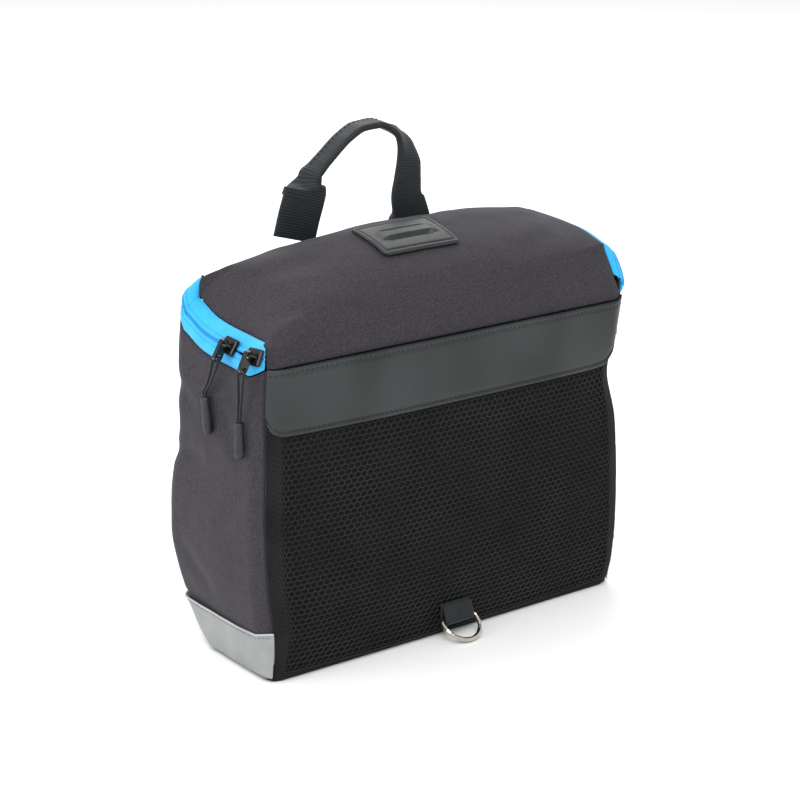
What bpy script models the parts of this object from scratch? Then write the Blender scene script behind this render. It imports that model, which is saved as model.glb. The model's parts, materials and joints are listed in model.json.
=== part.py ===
"""Soft bicycle handlebar bag, standing on its base.

Metres, +Z up. The front faces -Y and the width runs along X. The origin is the centre of the base, on the
floor. Cloth pieces are thin walls lofted between unlike sections, because the bag is soft and uneven.
"""

import math
from bisect import bisect_right
from collections import namedtuple
from functools import lru_cache

import bmesh
import bpy
from mathutils import Matrix, Vector

# Overall sizes
BASE_WIDTH = 0.250
BASE_DEPTH = 0.066
BODY_DEPTH = 0.100
BODY_HEIGHT = 0.180
LID_RISE = 0.051
LID_DEPTH = 0.0875
CORNER_RADIUS = 0.014

# Walls and clearances
CLOTH = 0.002
NET = 0.0010
BAND_WALL = 0.0016
STRIP_WALL = 0.0009
TAPE_WALL = 0.0012
GAP = 0.0003
PANEL_GAP = 0.0005
TAPE_GAP = 0.0006

# Front pocket, band and hem
FRONT_BELLY = 0.003
BAND_HEIGHT = 0.039
HEM_HEIGHT = 0.005
TURN_UP = 0.0026
BOTTOM_INSET = 0.0018

# Reflective strips
STRIP_TOP = 0.026
STRIP_LIFT = 0.14

# Zip
ZIP_RISE = 0.017
ZIP_INSET = 0.011
ZIP_BULGE = 0.0035

# Zip sliders and pulls
SLIDER_LENGTH = 0.0115
SLIDER_WIDTH = 0.0095
SLIDER_THICK = 0.0026
BRIDGE_WIRE = 0.0007
BRIDGE_SPAN = 0.0078
BRIDGE_RISE = 0.0036
EYE_RADIUS = 0.0017
EYE_WALL = 0.0008
TAB_REACH = 0.0085
TAB_WIDTH = 0.0026
TAB_TILT = 0.20
TAB_DROP = 0.16
PULL_CORD = 0.0008
PULL_STRANDS = 0.0023
GRIP_RADIUS = 0.0029
GRIP_LENGTH = 0.0205

# Handle
STRAP_WIDTH = 0.029
STRAP_WALL = 0.0018
HANDLE_SPAN = 0.083
HANDLE_RISE = 0.066
FOLD_GAP = 0.0004
FOLD_EDGE = 0.002
FOLD_START = 0.15

# Light clip patch
PATCH_WIDTH = 0.054
PATCH_DEPTH = 0.034
PATCH_WALL = 0.0022
BRIDGE_CROWN = 0.0022
PATCH_BACK = 0.044

# Ring and its loop
LOOP_WIDTH = 0.020
LOOP_HEIGHT = 0.0090
LOOP_WALL = 0.0015
RING_WIRE = 0.0014
RING_PLAY = 0.0004
RING_WIDTH = 0.0242
RING_REACH = 0.0160
RING_BAR_HEIGHT = 0.0112

# Back plate
PLATE_WIDTH = 0.124
PLATE_HEIGHT = 0.084
PLATE_WALL = 0.003
PLATE_CENTRE = 0.120
PLATE_ROUNDING = 0.010

# Sections of the body, from the floor up. Height is a share of the rim's height, left and right are half
# widths as shares of half the base width, front and back are shares of the body depth from the base's front
# edge, middle is the back's place at the plate, and radius is a share of the corner radius.
Section = namedtuple("Section", "height left right front back middle radius")
SECTIONS = (
    Section(0.000, 1.000, 1.000, 0.000, 0.650, 0.650, 0.55),
    Section(0.040, 1.008, 1.016, 0.000, 0.745, 0.740, 0.65),
    Section(0.085, 1.010, 1.036, 0.004, 0.840, 0.825, 0.75),
    Section(0.150, 1.016, 1.056, 0.008, 0.955, 0.905, 0.90),
    Section(0.220, 1.032, 1.068, 0.011, 1.000, 0.950, 1.00),
    Section(0.310, 1.050, 1.066, 0.014, 1.020, 0.975, 1.00),
    Section(0.410, 1.058, 1.062, 0.015, 1.005, 0.975, 1.00),
    Section(0.510, 1.060, 1.054, 0.013, 0.980, 0.975, 1.00),
    Section(0.600, 1.054, 1.044, 0.011, 0.950, 0.975, 1.00),
    Section(0.680, 1.048, 1.028, 0.008, 0.912, 0.975, 1.00),
    Section(0.770, 1.044, 1.008, 0.006, 0.890, 0.975, 0.95),
    Section(0.870, 1.042, 1.044, 0.003, 0.885, 0.975, 0.95),
    Section(1.000, 1.028, 1.080, 0.000, 0.900, 0.975, 0.95),
)

# The rim, where the lower zip tape meets the body. Run goes round the outline: 0 the middle of the front,
# 1 to 2 the front corner, 3 to 4 the back corner, 5 the middle of the back. Heights are shares of the
# body height.
Rim = namedtuple("Rim", "run left right")
RIM = (
    Rim(0.00, 1.000, 1.000),
    Rim(1.00, 1.000, 1.002),
    Rim(1.41, 1.000, 1.014),
    Rim(1.70, 0.986, 1.050),
    Rim(2.00, 0.974, 1.085),
    Rim(2.40, 0.982, 1.122),
    Rim(2.70, 0.996, 1.130),
    Rim(3.00, 1.036, 1.134),
    Rim(3.50, 1.080, 1.136),
    Rim(4.00, 1.098, 1.136),
    Rim(4.50, 1.120, 1.140),
    Rim(5.00, 1.140, 1.140),
)

# The lid from its front seam to its back edge. Back and up are the place of its middle line, as shares of
# the lid's depth and rise. Run is where the same row meets the zip.
LidRow = namedtuple("LidRow", "along back up run")
LID_ROWS = (
    LidRow(0.00, 0.000, 0.000, 1.41),
    LidRow(0.10, 0.006, 0.190, 1.46),
    LidRow(0.22, 0.060, 0.440, 1.80),
    LidRow(0.34, 0.180, 0.690, 2.10),
    LidRow(0.46, 0.345, 0.865, 2.36),
    LidRow(0.58, 0.520, 0.955, 2.58),
    LidRow(0.70, 0.690, 1.000, 2.80),
    LidRow(0.82, 0.850, 0.970, 3.06),
    LidRow(1.00, 1.000, 0.824, 3.50),
)

# Lower edge of the band, and the hem, across the front. Across runs from -1, the left seam, to 1. The band's
# edge is a share of the band's height above its lowest line, the hem a share of the hem height.
FrontRow = namedtuple("FrontRow", "across band hem")
FRONT_ROWS = (
    FrontRow(-1.00, 0.25, 2.6),
    FrontRow(-0.88, 0.10, 2.0),
    FrontRow(-0.62, 0.02, 1.0),
    FrontRow(-0.20, 0.00, 0.7),
    FrontRow(0.20, 0.00, 0.8),
    FrontRow(0.62, 0.00, 1.1),
    FrontRow(0.88, 0.14, 1.3),
    FrontRow(1.00, 0.40, 1.5),
)

# Dents pushed into the cloth. Side is -1 left, 1 right, forward and height are shares of the body depth and
# height, and so are the two reaches. Depth is a share of the corner radius.
Dent = namedtuple("Dent", "side forward height reach_forward reach_height depth")
DENTS = (
    Dent(-1, 0.80, 0.640, 0.24, 0.070, 0.20),
    Dent(-1, 0.30, 0.850, 0.14, 0.110, 0.20),
    Dent(-1, 0.45, 0.330, 0.20, 0.160, -0.10),
    Dent(1, 0.12, 0.740, 0.16, 0.090, 0.26),
    Dent(1, 0.55, 0.520, 0.26, 0.180, -0.10),
)

# Where each pull hangs on the left of the bag: run of its slider on the zip, and the place of the grip's two
# ends behind the front edge and above the floor, as shares of the body depth and height.
Pull = namedtuple("Pull", "name run top_back top_height low_back low_height")
PULLS = (
    Pull("front", 1.68, 0.150, 0.832, 0.140, 0.718),
    Pull("rear", 2.30, 0.490, 0.866, 0.455, 0.754),
)

# The handle's fold line and how the strap lies there. Across is a share of half the span, up a share of the
# rise. Angle is the direction of the outer part in degrees from +X, lean tilts it to the back, and fold is how
# far across the strap the fold has moved, from 0 at its inner edge to 1 at its middle.
HandleRow = namedtuple("HandleRow", "along across up angle lean fold")
HANDLE_ROWS = (
    HandleRow(0, -0.925, 0.000, 170, 0, 0.00),
    HandleRow(1, -0.841, 0.182, 165, 0, 0.00),
    HandleRow(2, -0.752, 0.348, 160, 0, 0.00),
    HandleRow(3, -0.706, 0.455, 154, 6, 0.03),
    HandleRow(4, -0.730, 0.553, 142, 74, 0.85),
    HandleRow(5, -0.622, 0.644, 136, 86, 1.00),
    HandleRow(6, -0.477, 0.727, 134, 89, 1.00),
    HandleRow(7, -0.181, 0.874, 122, 90, 1.00),
    HandleRow(8, 0.089, 0.950, 98, 90, 1.00),
    HandleRow(9, 0.349, 0.958, 66, 88, 1.00),
    HandleRow(10, 0.586, 0.894, 60, 84, 1.00),
    HandleRow(11, 0.711, 0.812, 32, 58, 0.98),
    HandleRow(12, 0.740, 0.712, 14, 26, 0.88),
    HandleRow(13, 0.720, 0.591, 5, 7, 0.72),
    HandleRow(14, 0.672, 0.439, 3, 3, 0.56),
    HandleRow(15, 0.619, 0.258, 2, 1, 0.26),
    HandleRow(16, 0.677, 0.000, 2, 0, 0.00),
)

SIDE_SEAM = 1.41
SEAM_STEP = 0.018
BACK_SEAM = 3.65
TAPE_SPLIT = 0.55
SLIDER_PLACE = 0.52
NAME = "handlebar_bag"


@lru_cache(maxsize=None)
def knots(rows, column):
    """Places, values and slopes of a table's column."""
    keys = [row[0] for row in rows]
    values = [getattr(row, column) for row in rows]
    steps = [(values[k + 1] - values[k]) / (keys[k + 1] - keys[k]) for k in range(len(keys) - 1)]
    slopes = [steps[0]]
    for before, after in zip(steps, steps[1:]):
        level = before * after <= 0
        slopes.append(0.0 if level else 2 * before * after / (before + after))
    return keys, values, slopes + [steps[-1]]


def read(rows, column, at):
    """Value of a table's column at a place in its first column, on a smooth curve without overshoot."""
    keys, values, slopes = knots(rows, column)
    if at <= keys[0]:
        return values[0]
    if at >= keys[-1]:
        return values[-1]
    i = bisect_right(keys, at) - 1
    width = keys[i + 1] - keys[i]
    t = (at - keys[i]) / width
    start = (2 * t**3 - 3 * t**2 + 1) * values[i] + (t**3 - 2 * t**2 + t) * width * slopes[i]
    end = (-2 * t**3 + 3 * t**2) * values[i + 1] + (t**3 - t**2) * width * slopes[i + 1]
    return start + end


def ease(t):
    """0 to 1 with level ends."""
    t = min(max(t, 0.0), 1.0)
    return t * t * (3 - 2 * t)


def mix(a, b, t):
    return a + (b - a) * t


FRONT_EDGE = -BASE_DEPTH / 2


def outline(side, run, level):
    """Point of the body's outline at a level, before its height and dents, as x and y."""
    half = read(SECTIONS, "left" if side < 0 else "right", level) * BASE_WIDTH / 2
    front = FRONT_EDGE - read(SECTIONS, "front", level) * BODY_DEPTH
    back = FRONT_EDGE + read(SECTIONS, "back", level) * BODY_DEPTH
    middle = FRONT_EDGE + read(SECTIONS, "middle", level) * BODY_DEPTH
    radius = read(SECTIONS, "radius", level) * CORNER_RADIUS
    if run <= 1:
        x, y = run * (half - radius), front
    elif run <= 2:
        turn = (run - 1) * math.pi / 2
        x = half - radius + radius * math.sin(turn)
        y = front + radius - radius * math.cos(turn)
    elif run <= 3:
        x, y = half, mix(front + radius, back - radius, run - 2)
    elif run <= 4:
        turn = (run - 3) * math.pi / 2
        x = half - radius + radius * math.cos(turn)
        y = back - radius + radius * math.sin(turn)
    else:
        x, y = mix(half - radius, 0.0, run - 4), back
    across = x / half
    if run < 2:
        y -= FRONT_BELLY * (1 - across**2) * math.sin(math.pi * min(max(level, 0), 1))
    if run > 3:
        y += (middle - back) * ease((0.93 - across) / 0.34)
    return side * x, y


def rim_height(side, run):
    return BODY_HEIGHT * read(RIM, "left" if side < 0 else "right", run)


def plain_body(side, run, level):
    x, y = outline(side, run, level)
    return Vector((x, y, level * rim_height(side, run)))


def dented(point, side, normal):
    """The point moved in by the dents near it."""
    push = 0.0
    for dent in DENTS:
        if dent.side * side < 0:
            continue
        away_x = (dent.side * BASE_WIDTH / 2 - point.x) / (dent.reach_forward * BODY_DEPTH)
        away_y = (FRONT_EDGE + dent.forward * BODY_DEPTH - point.y) / (dent.reach_forward * BODY_DEPTH)
        away_z = (dent.height * BODY_HEIGHT - point.z) / (dent.reach_height * BODY_HEIGHT)
        push += dent.depth * math.exp(-(away_x**2 + away_y**2 + away_z**2))
    return point - normal * push * CORNER_RADIUS


def slope_normal(surface, side, run, level, step=0.01):
    """Outward unit normal of a surface given by run and level."""
    along = surface(side, run + step, level) - surface(side, run - step, level)
    up = surface(side, run, level + step) - surface(side, run, level - step)
    return (along.cross(up) if side > 0 else up.cross(along)).normalized()


@lru_cache(maxsize=None)
def body(side, run, level):
    """Point of the body's outer surface. Level 0 is the floor and 1 is the rim."""
    point = plain_body(side, run, level)
    return dented(point, side, slope_normal(plain_body, side, run, level))


def body_normal(side, run, level):
    run = min(max(run, 0.02), 4.98)
    return slope_normal(body, side, run, level)


@lru_cache(maxsize=None)
def zip_edge(side, run):
    """Inner edge of the zip, where the lid is sewn to it."""
    rim = body(side, run, 1.0)
    inward = -body_normal(side, run, 1.0)
    inward.z = 0
    inward.normalize()
    full = ease((run - 1.2) / 0.8)
    return rim + inward * ZIP_INSET * mix(0.25, 1.0, full) + Vector((0, 0, ZIP_RISE * mix(0.5, 1.0, full)))


def zip_surface(side, run, share):
    """Point of the zip, bowed outwards. Share 0 is the lid's edge and 1 is the rim."""
    top = zip_edge(side, run)
    low = body(side, run, 1.0)
    chord = low - top
    outward = body_normal(side, run, 1.0)
    outward.z = 0
    outward.normalize()
    bow = (outward - chord * outward.dot(chord) / chord.length_squared).normalized()
    return mix(top, low, share) + bow * ZIP_BULGE * 4 * share * (1 - share)


def zip_normal(side, run, share, step=0.01):
    run = min(run, 4.98)
    along = zip_surface(side, run + step, share) - zip_surface(side, run - step, share)
    up = zip_surface(side, run, share - step) - zip_surface(side, run, share + step)
    return (along.cross(up) if side > 0 else up.cross(along)).normalized()


def lid_edge(side, along):
    """Edge of the lid: up the front end of the zip, then back along it."""
    first = LID_ROWS[1].along
    if along < first:
        return mix(body(side, SIDE_SEAM, 1.0), zip_edge(side, LID_ROWS[1].run), along / first)
    return zip_edge(side, read(LID_ROWS, "run", along))


def back_run(across):
    """Run of the point of the lid's back edge at a share of the way from the middle to its corner."""
    return mix(5.0, LID_ROWS[-1].run, across)


def lid_blend(across, along):
    side = -1 if across < 0 else 1
    edge = lid_edge(side, along)
    middle = Vector((0, FRONT_EDGE + read(LID_ROWS, "back", along) * LID_DEPTH, 0))
    middle.z = BODY_HEIGHT + read(LID_ROWS, "up", along) * LID_RISE
    share = abs(across)
    return Vector((edge.x * share, mix(middle.y, edge.y, share**2.4), mix(middle.z, edge.z, share**3.2)))


def lid(across, along):
    """Point of the lid's outer surface, from -1 to 1 across and from its front seam, 0, to its back, 1."""
    side = -1 if across < 0 else 1
    share = abs(across)
    point = lid_blend(across, along)
    at_front = body(side, SIDE_SEAM * share, 1.0) - lid_blend(across, 0.0)
    at_back = zip_edge(side, back_run(share)) - lid_blend(across, 1.0)
    return point + at_front * (1 - along) ** 3 + at_back * along**3


def lid_normal(across, along, step=0.01):
    across = min(max(across, -0.985), 0.985)
    along = min(max(along, 0.011), 0.989)
    right = lid(across + step, along) - lid(across - step, along)
    back = lid(across, along + step) - lid(across, along - step)
    return right.cross(back).normalized()


def spread(start, end, count):
    return [mix(start, end, i / count) for i in range(count + 1)]


def new_object(name, mesh_data, material):
    """Links a bmesh as an object of the bag."""
    mesh = bpy.data.meshes.new(name)
    bmesh.ops.recalc_face_normals(mesh_data, faces=mesh_data.faces)
    mesh_data.to_mesh(mesh)
    mesh_data.free()
    obj = bpy.data.objects.new(name, mesh)
    PARTS.objects.link(obj)
    mesh.materials.append(material)
    mesh.shade_smooth()
    mesh.set_sharp_from_angle(angle=math.radians(38))
    return obj


def trim(points, gap, closed):
    """Moves the border of a grid of points in by a gap, along the grid."""
    rows, columns = len(points), len(points[0])
    moved = [list(row) for row in points]
    for j in range(columns):
        for edge, inner in ((0, 1), (rows - 1, rows - 2)):
            moved[edge][j] = moved[edge][j] + (points[inner][j] - points[edge][j]).normalized() * gap
    if not closed:
        for i in range(rows):
            for edge, inner in ((0, 1), (columns - 1, columns - 2)):
                moved[i][edge] = moved[i][edge] + (points[i][inner] - points[i][edge]).normalized() * gap
    return moved


def shell(name, points, normals, wall, material, stand_off=0.0, gap=PANEL_GAP / 2, skip=()):
    """A wall between an outer skin, through a grid of points, and an inner one. Skip holds open cells."""
    points = trim(points, gap, False)
    rows, columns = len(points), len(points[0])
    mesh_data = bmesh.new()
    skins = []
    for depth in (stand_off, stand_off - wall):
        skins.append([
            [mesh_data.verts.new(points[i][j] + normals[i][j] * depth) for j in range(columns)]
            for i in range(rows)
        ])
    outer, inner = skins
    open_cells = set(skip)

    def solid(i, j):
        return 0 <= i < rows - 1 and 0 <= j < columns - 1 and (i, j) not in open_cells

    for i in range(rows - 1):
        for j in range(columns - 1):
            if not solid(i, j):
                continue
            corners = ((i, j), (i, j + 1), (i + 1, j + 1), (i + 1, j))
            for half in ((0, 1, 2), (0, 2, 3)):
                mesh_data.faces.new([outer[corners[k][0]][corners[k][1]] for k in half])
                mesh_data.faces.new([inner[corners[k][0]][corners[k][1]] for k in reversed(half)])
            neighbours = ((i - 1, j), (i, j + 1), (i + 1, j), (i, j - 1))
            for k, (a, b) in enumerate(neighbours):
                if not solid(a, b):
                    (p, q), (r, s) = corners[k], corners[(k + 1) % 4]
                    mesh_data.faces.new([outer[r][s], outer[p][q], inner[p][q], inner[r][s]])
    for vert in [v for v in mesh_data.verts if not v.link_faces]:
        mesh_data.verts.remove(vert)
    return new_object(name, mesh_data, material)


def finish(name, color, roughness, metallic=0.0):
    material = bpy.data.materials.new(name)
    material.use_nodes = True
    shader = material.node_tree.nodes["Principled BSDF"]
    shader.inputs["Base Color"].default_value = (*color, 1)
    shader.inputs["Roughness"].default_value = roughness
    shader.inputs["Metallic"].default_value = metallic
    return material


def corner_normal(side, run, level):
    """Normal of the body, leaning towards the zip's at the rim, so that walls meet there without overlap."""
    normal = body_normal(side, run, min(max(level, 0.012), 0.988))
    if level > 0.999 and run > SIDE_SEAM:
        normal = (normal + zip_normal(side, max(run, TAPE_START), 0.97)).normalized()
    elif level > 0.999:
        normal = (normal + lid_normal(side * run / SIDE_SEAM, 0.0)).normalized()
    return normal


def front_hem(side, run):
    """Level of the top of the base panel's turned-up edge across the front."""
    return read(FRONT_ROWS, "hem", side * run / SIDE_SEAM) * HEM_HEIGHT / rim_height(side, run)


def side_hem(side, run):
    """Level of the top of that edge on the sides and the back."""
    return TURN_UP / rim_height(side, run)


FRONT_RUNS = (0.0, 0.25, 0.5, 0.75, 0.92, 1.0, 1.1, 1.2, 1.3, SIDE_SEAM)
FRONT_AROUND = [(-1, run) for run in reversed(FRONT_RUNS)] + [(1, run) for run in FRONT_RUNS[1:]]
LID_HALF = (0.0, 0.20, 0.40, 0.50, 0.60, 0.70, 0.80, 0.90, 0.96, 1.0)
LID_ACROSS = [-share for share in reversed(LID_HALF)] + list(LID_HALF[1:])
LID_ALONG = (0.0, 0.055, 0.10, 0.145, 0.19, 0.235, 0.28, 0.38, 0.48, 0.60, 0.72, 0.82, 0.91, 1.0)
TAPE_RUNS = [read(LID_ROWS, "run", along) for along in LID_ALONG[LID_ALONG.index(LID_ROWS[1].along):]]
TAPE_RUNS += [back_run(share) for share in reversed(LID_HALF[1:-1])]
TAPE_START = TAPE_RUNS[0]
SIDE_RUNS = [SIDE_SEAM] + [run for run in TAPE_RUNS if run <= BACK_SEAM + 0.001]
BACK_RUNS = [run for run in TAPE_RUNS if run >= BACK_SEAM - 0.001]


def band_bottom(side, run):
    """Level of the band's lower edge, where the net ends."""
    share = read(FRONT_ROWS, "band", side * run / SIDE_SEAM)
    return (BODY_HEIGHT - BAND_HEIGHT * (1 - share)) / BODY_HEIGHT


def rim_level(side, run):
    return 1.0


def grid(surface_rows, around):
    """Points and normals of the body at each row of levels."""
    points, normals = [], []
    for levels in surface_rows:
        places = [(side, run, level) for (side, run), level in zip(around, levels)]
        points.append([body(*place) for place in places])
        normals.append([corner_normal(*place) for place in places])
    return points, normals


def rows_between(low, high, around, count):
    """Rows of levels between two lines round the body."""
    ends = [(low(side, run), high(side, run)) for side, run in around]
    return [[mix(a, b, share) for a, b in ends] for share in spread(0, 1, count)]


def strip_top(side, run):
    """Level of the top of the reflective strips, a little higher at the front corners."""
    return STRIP_TOP * (1 + STRIP_LIFT * ease((2.0 - run) / 0.5)) / rim_height(side, run)


NET_ROWS = rows_between(front_hem, strip_top, FRONT_AROUND, 2)
NET_ROWS += rows_between(strip_top, band_bottom, FRONT_AROUND, 7)[1:]
BAND_ROWS = rows_between(band_bottom, rim_level, FRONT_AROUND, 3)
STRIP_ROWS = 4


def side_levels(side, run):
    """Levels of the rows on the sides and the back: the front panel's at its seam, even ones behind."""
    seam = [levels[0 if side < 0 else -1] for levels in NET_ROWS + BAND_ROWS[1:]]
    ahead = [side_hem(side, run)] + seam
    low, top = side_hem(side, run), strip_top(side, run)
    behind = spread(low, top, STRIP_ROWS - 1) + spread(top, 1.0, len(ahead) - STRIP_ROWS)[1:]
    share = min((run - SIDE_SEAM) / (BACK_SEAM - SIDE_SEAM), 1.0)
    return [mix(a, b, share) for a, b in zip(ahead, behind)]


def build_front(cloth, net, vinyl):
    """The front panel with the net and the band over it, all on one grid."""
    shell("front_panel", *grid(NET_ROWS + BAND_ROWS[1:], FRONT_AROUND), CLOTH, cloth)
    shell("mesh_pocket", *grid(NET_ROWS, FRONT_AROUND), NET, net, GAP + NET)
    shell("front_band", *grid(BAND_ROWS, FRONT_AROUND), BAND_WALL, vinyl, GAP + BAND_WALL)


def build_side(word, side, cloth, grey):
    """A side panel with the reflective strip over its foot, both on one grid."""
    around = [(side, run) for run in SIDE_RUNS]
    rows = list(zip(*(side_levels(*place) for place in around)))
    shell(word + "_side_panel", *grid(rows, around), CLOTH, cloth)
    shell(word + "_reflective_strip", *grid(rows[:STRIP_ROWS], around), STRIP_WALL, grey, GAP + STRIP_WALL)


def build_back_panel(material):
    around = [(1, run) for run in BACK_RUNS] + [(1, 5.0)] + [(-1, run) for run in reversed(BACK_RUNS)]
    rows = list(zip(*(side_levels(*place) for place in around)))
    shell("back_panel", *grid(rows, around), CLOTH, material)


def build_base_panel(material):
    """A flat bottom whose edge turns up, higher in front: rings from the top of the edge to the floor."""
    half = [(run, front_hem) for run in FRONT_RUNS[:-1]] + [(SIDE_SEAM - SEAM_STEP, front_hem)]
    half += [(run, side_hem) for run in SIDE_RUNS + BACK_RUNS[1:] + [5.0]]
    around = [(1, run, hem(1, run)) for run, hem in half]
    around += [(-1, run, hem(-1, run)) for run, hem in reversed(half[1:-1])]
    mesh_data = bmesh.new()
    skins = []
    for depth in (0.0, CLOTH):
        rings = []
        for share in (1.0, 0.45, 0.0):
            ring = []
            for side, run, top in around:
                point = body(side, run, top * share)
                normal = corner_normal(side, run, top * share)
                level_out = Vector((normal.x, normal.y, 0)).normalized()
                if share == 1.0:
                    place = point - normal * depth - Vector((0, 0, PANEL_GAP / 2))
                else:
                    place = point - level_out * (depth + BOTTOM_INSET * (1 - share) ** 3)
                    place.z = max(depth, place.z if share else 0.0)
                ring.append(mesh_data.verts.new(place))
            rings.append(ring)
        skins.append(rings)
    outer, inner = skins
    for k in range(len(around)):
        after = (k + 1) % len(around)
        for rings in skins:
            for low, high in zip(rings[1:], rings):
                mesh_data.faces.new([low[k], low[after], high[after], high[k]])
        mesh_data.faces.new([outer[0][k], outer[0][after], inner[0][after], inner[0][k]])
    mesh_data.faces.new(outer[-1])
    mesh_data.faces.new(inner[-1])
    new_object("base_panel", mesh_data, material)


def build_lid(material):
    across, along = LID_ACROSS, LID_ALONG
    points = [[lid(a, b) for a in across] for b in along]
    normals = [[lid_normal(a, b) for a in across] for b in along]
    last = len(along) - 1
    for j, a in enumerate(across):
        side = -1 if a < 0 else 1
        front = body_normal(side, SIDE_SEAM * abs(a), 0.988)
        normals[0][j] = (normals[0][j] + front).normalized()
        seam = zip_normal(side, back_run(abs(a)), 0.03)
        normals[last][j] = (normals[last][j] + seam).normalized()
    for i, b in enumerate(along[1:-1], 1):
        for j, side in ((0, -1), (len(across) - 1, 1)):
            seam = zip_normal(side, max(read(LID_ROWS, "run", b), TAPE_START), 0.03)
            normals[i][j] = (normals[i][j] + seam).normalized()
    shell("lid", points, normals, CLOTH, material)


def lid_seam_normal(side, run):
    """Normal of the lid beside the zip at a run."""
    corner = LID_ROWS[-1].run
    if run >= corner:
        return lid_normal(side * (5.0 - run) / (5.0 - corner), 1.0)
    low, high = LID_ROWS[1].along, 1.0
    for _ in range(30):
        middle = (low + high) / 2
        if read(LID_ROWS, "run", middle) < run:
            low = middle
        else:
            high = middle
    return lid_normal(side, low)


def build_zip_tape(name, shares, material):
    """One half of the zip, in a U from the left front corner round the back to the right one."""
    around = [(-1, run) for run in TAPE_RUNS] + [(1, 5.0)] + [(1, run) for run in reversed(TAPE_RUNS)]
    points = [[zip_surface(side, run, share) for side, run in around] for share in shares]
    normals = [[zip_normal(side, run, min(max(share, 0.03), 0.97)) for side, run in around] for share in shares]
    for j, (side, run) in enumerate(around):
        if shares[0] == 0.0:
            normals[0][j] = (normals[0][j] + lid_seam_normal(side, run)).normalized()
        if shares[-1] == 1.0:
            normals[-1][j] = (normals[-1][j] + body_normal(side, run, 0.988)).normalized()
    shell(name, points, normals, TAPE_WALL, material)


def build_zip(material):
    split = TAPE_GAP / (2 * ZIP_RISE)
    build_zip_tape("upper_zip_tape", (0.0, 0.27, TAPE_SPLIT - split), material)
    build_zip_tape("lower_zip_tape", (TAPE_SPLIT + split, 0.78, 1.0), material)


def lid_at(x, back):
    """The lid's point and normal at a place across and a distance behind the front edge."""
    share, along = x / (BASE_WIDTH / 2), 0.5
    for _ in range(40):
        point = lid(share, along)
        share += (x - point.x) / BASE_WIDTH
        along += (FRONT_EDGE + back - point.y) / (LID_DEPTH * 2)
        along = min(max(along, 0.0), 1.0)
    return lid(share, along), lid_normal(share, along)


def build_patch(material):
    """Rubber tab that follows the lid, with two slots beside a raised bridge."""
    across_cuts = (-0.5, -0.46, -0.38, -0.30, -0.15, 0.0, 0.15, 0.30, 0.38, 0.46, 0.5)
    back_cuts = (-0.5, -0.43, -0.30, -0.17, -0.10, 0.0, 0.10, 0.17, 0.30, 0.43, 0.5)
    points, normals = [], []
    for b in back_cuts:
        row, row_normals = [], []
        for a in across_cuts:
            rounding = 0.93 if abs(a) == abs(b) == 0.5 else 1.0
            point, normal = lid_at(a * PATCH_WIDTH * rounding, PATCH_BACK + b * PATCH_DEPTH * rounding)
            crown = ease((0.17 - abs(b)) / 0.07) * ease((0.38 - abs(a)) / 0.23)
            row.append(point + normal * BRIDGE_CROWN * crown)
            row_normals.append(normal)
        points.append(row)
        normals.append(row_normals)
    slots = [(i, j) for i in (3, 6) for j in range(3, 7)]
    shell("light_clip_patch", points, normals, PATCH_WALL, material, GAP + PATCH_WALL, 0.0, slots)


def strap_section(fold_line, tangent, outer, fold):
    """Outline of the strap across its run: its outer part, the bend, and the inner part turned behind."""
    behind = outer.cross(tangent).normalized()
    turn = math.pi * min(fold / FOLD_START, 1.0)
    bend = math.pi * (STRAP_WALL + FOLD_GAP) / 2
    inner = mix(FOLD_EDGE, (STRAP_WIDTH - bend) / 2, fold)
    straight = STRAP_WIDTH - bend - inner
    middle = [(fold_line + outer * straight * share, -behind) for share in (1.0, 0.5)]
    for share in (0.0, 0.25, 0.5, 0.75, 1.0):
        angle = turn * share
        reach = bend * share if turn < 0.001 else math.sin(angle) * bend / turn
        rise = 0.0 if turn < 0.001 else (1 - math.cos(angle)) * bend / turn
        place = fold_line - outer * reach + behind * rise
        middle.append((place, -behind * math.cos(angle) - outer * math.sin(angle)))
    end, facing = middle[-1]
    heading = -outer * math.cos(turn) + behind * math.sin(turn)
    middle += [(end + heading * inner * share, facing) for share in (0.5, 1.0)]
    front = [place + face * STRAP_WALL / 2 for place, face in middle]
    back = [place - face * STRAP_WALL / 2 for place, face in middle]
    return front + back[::-1]


def seam_height(x):
    """Height of the lid's back edge at a place across."""
    side = -1 if x < 0 else 1
    low, high = LID_ROWS[-1].run, 5.0
    for _ in range(30):
        run = (low + high) / 2
        if abs(zip_edge(side, run).x) > abs(x):
            low = run
        else:
            high = run
    return zip_edge(side, run).z


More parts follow.
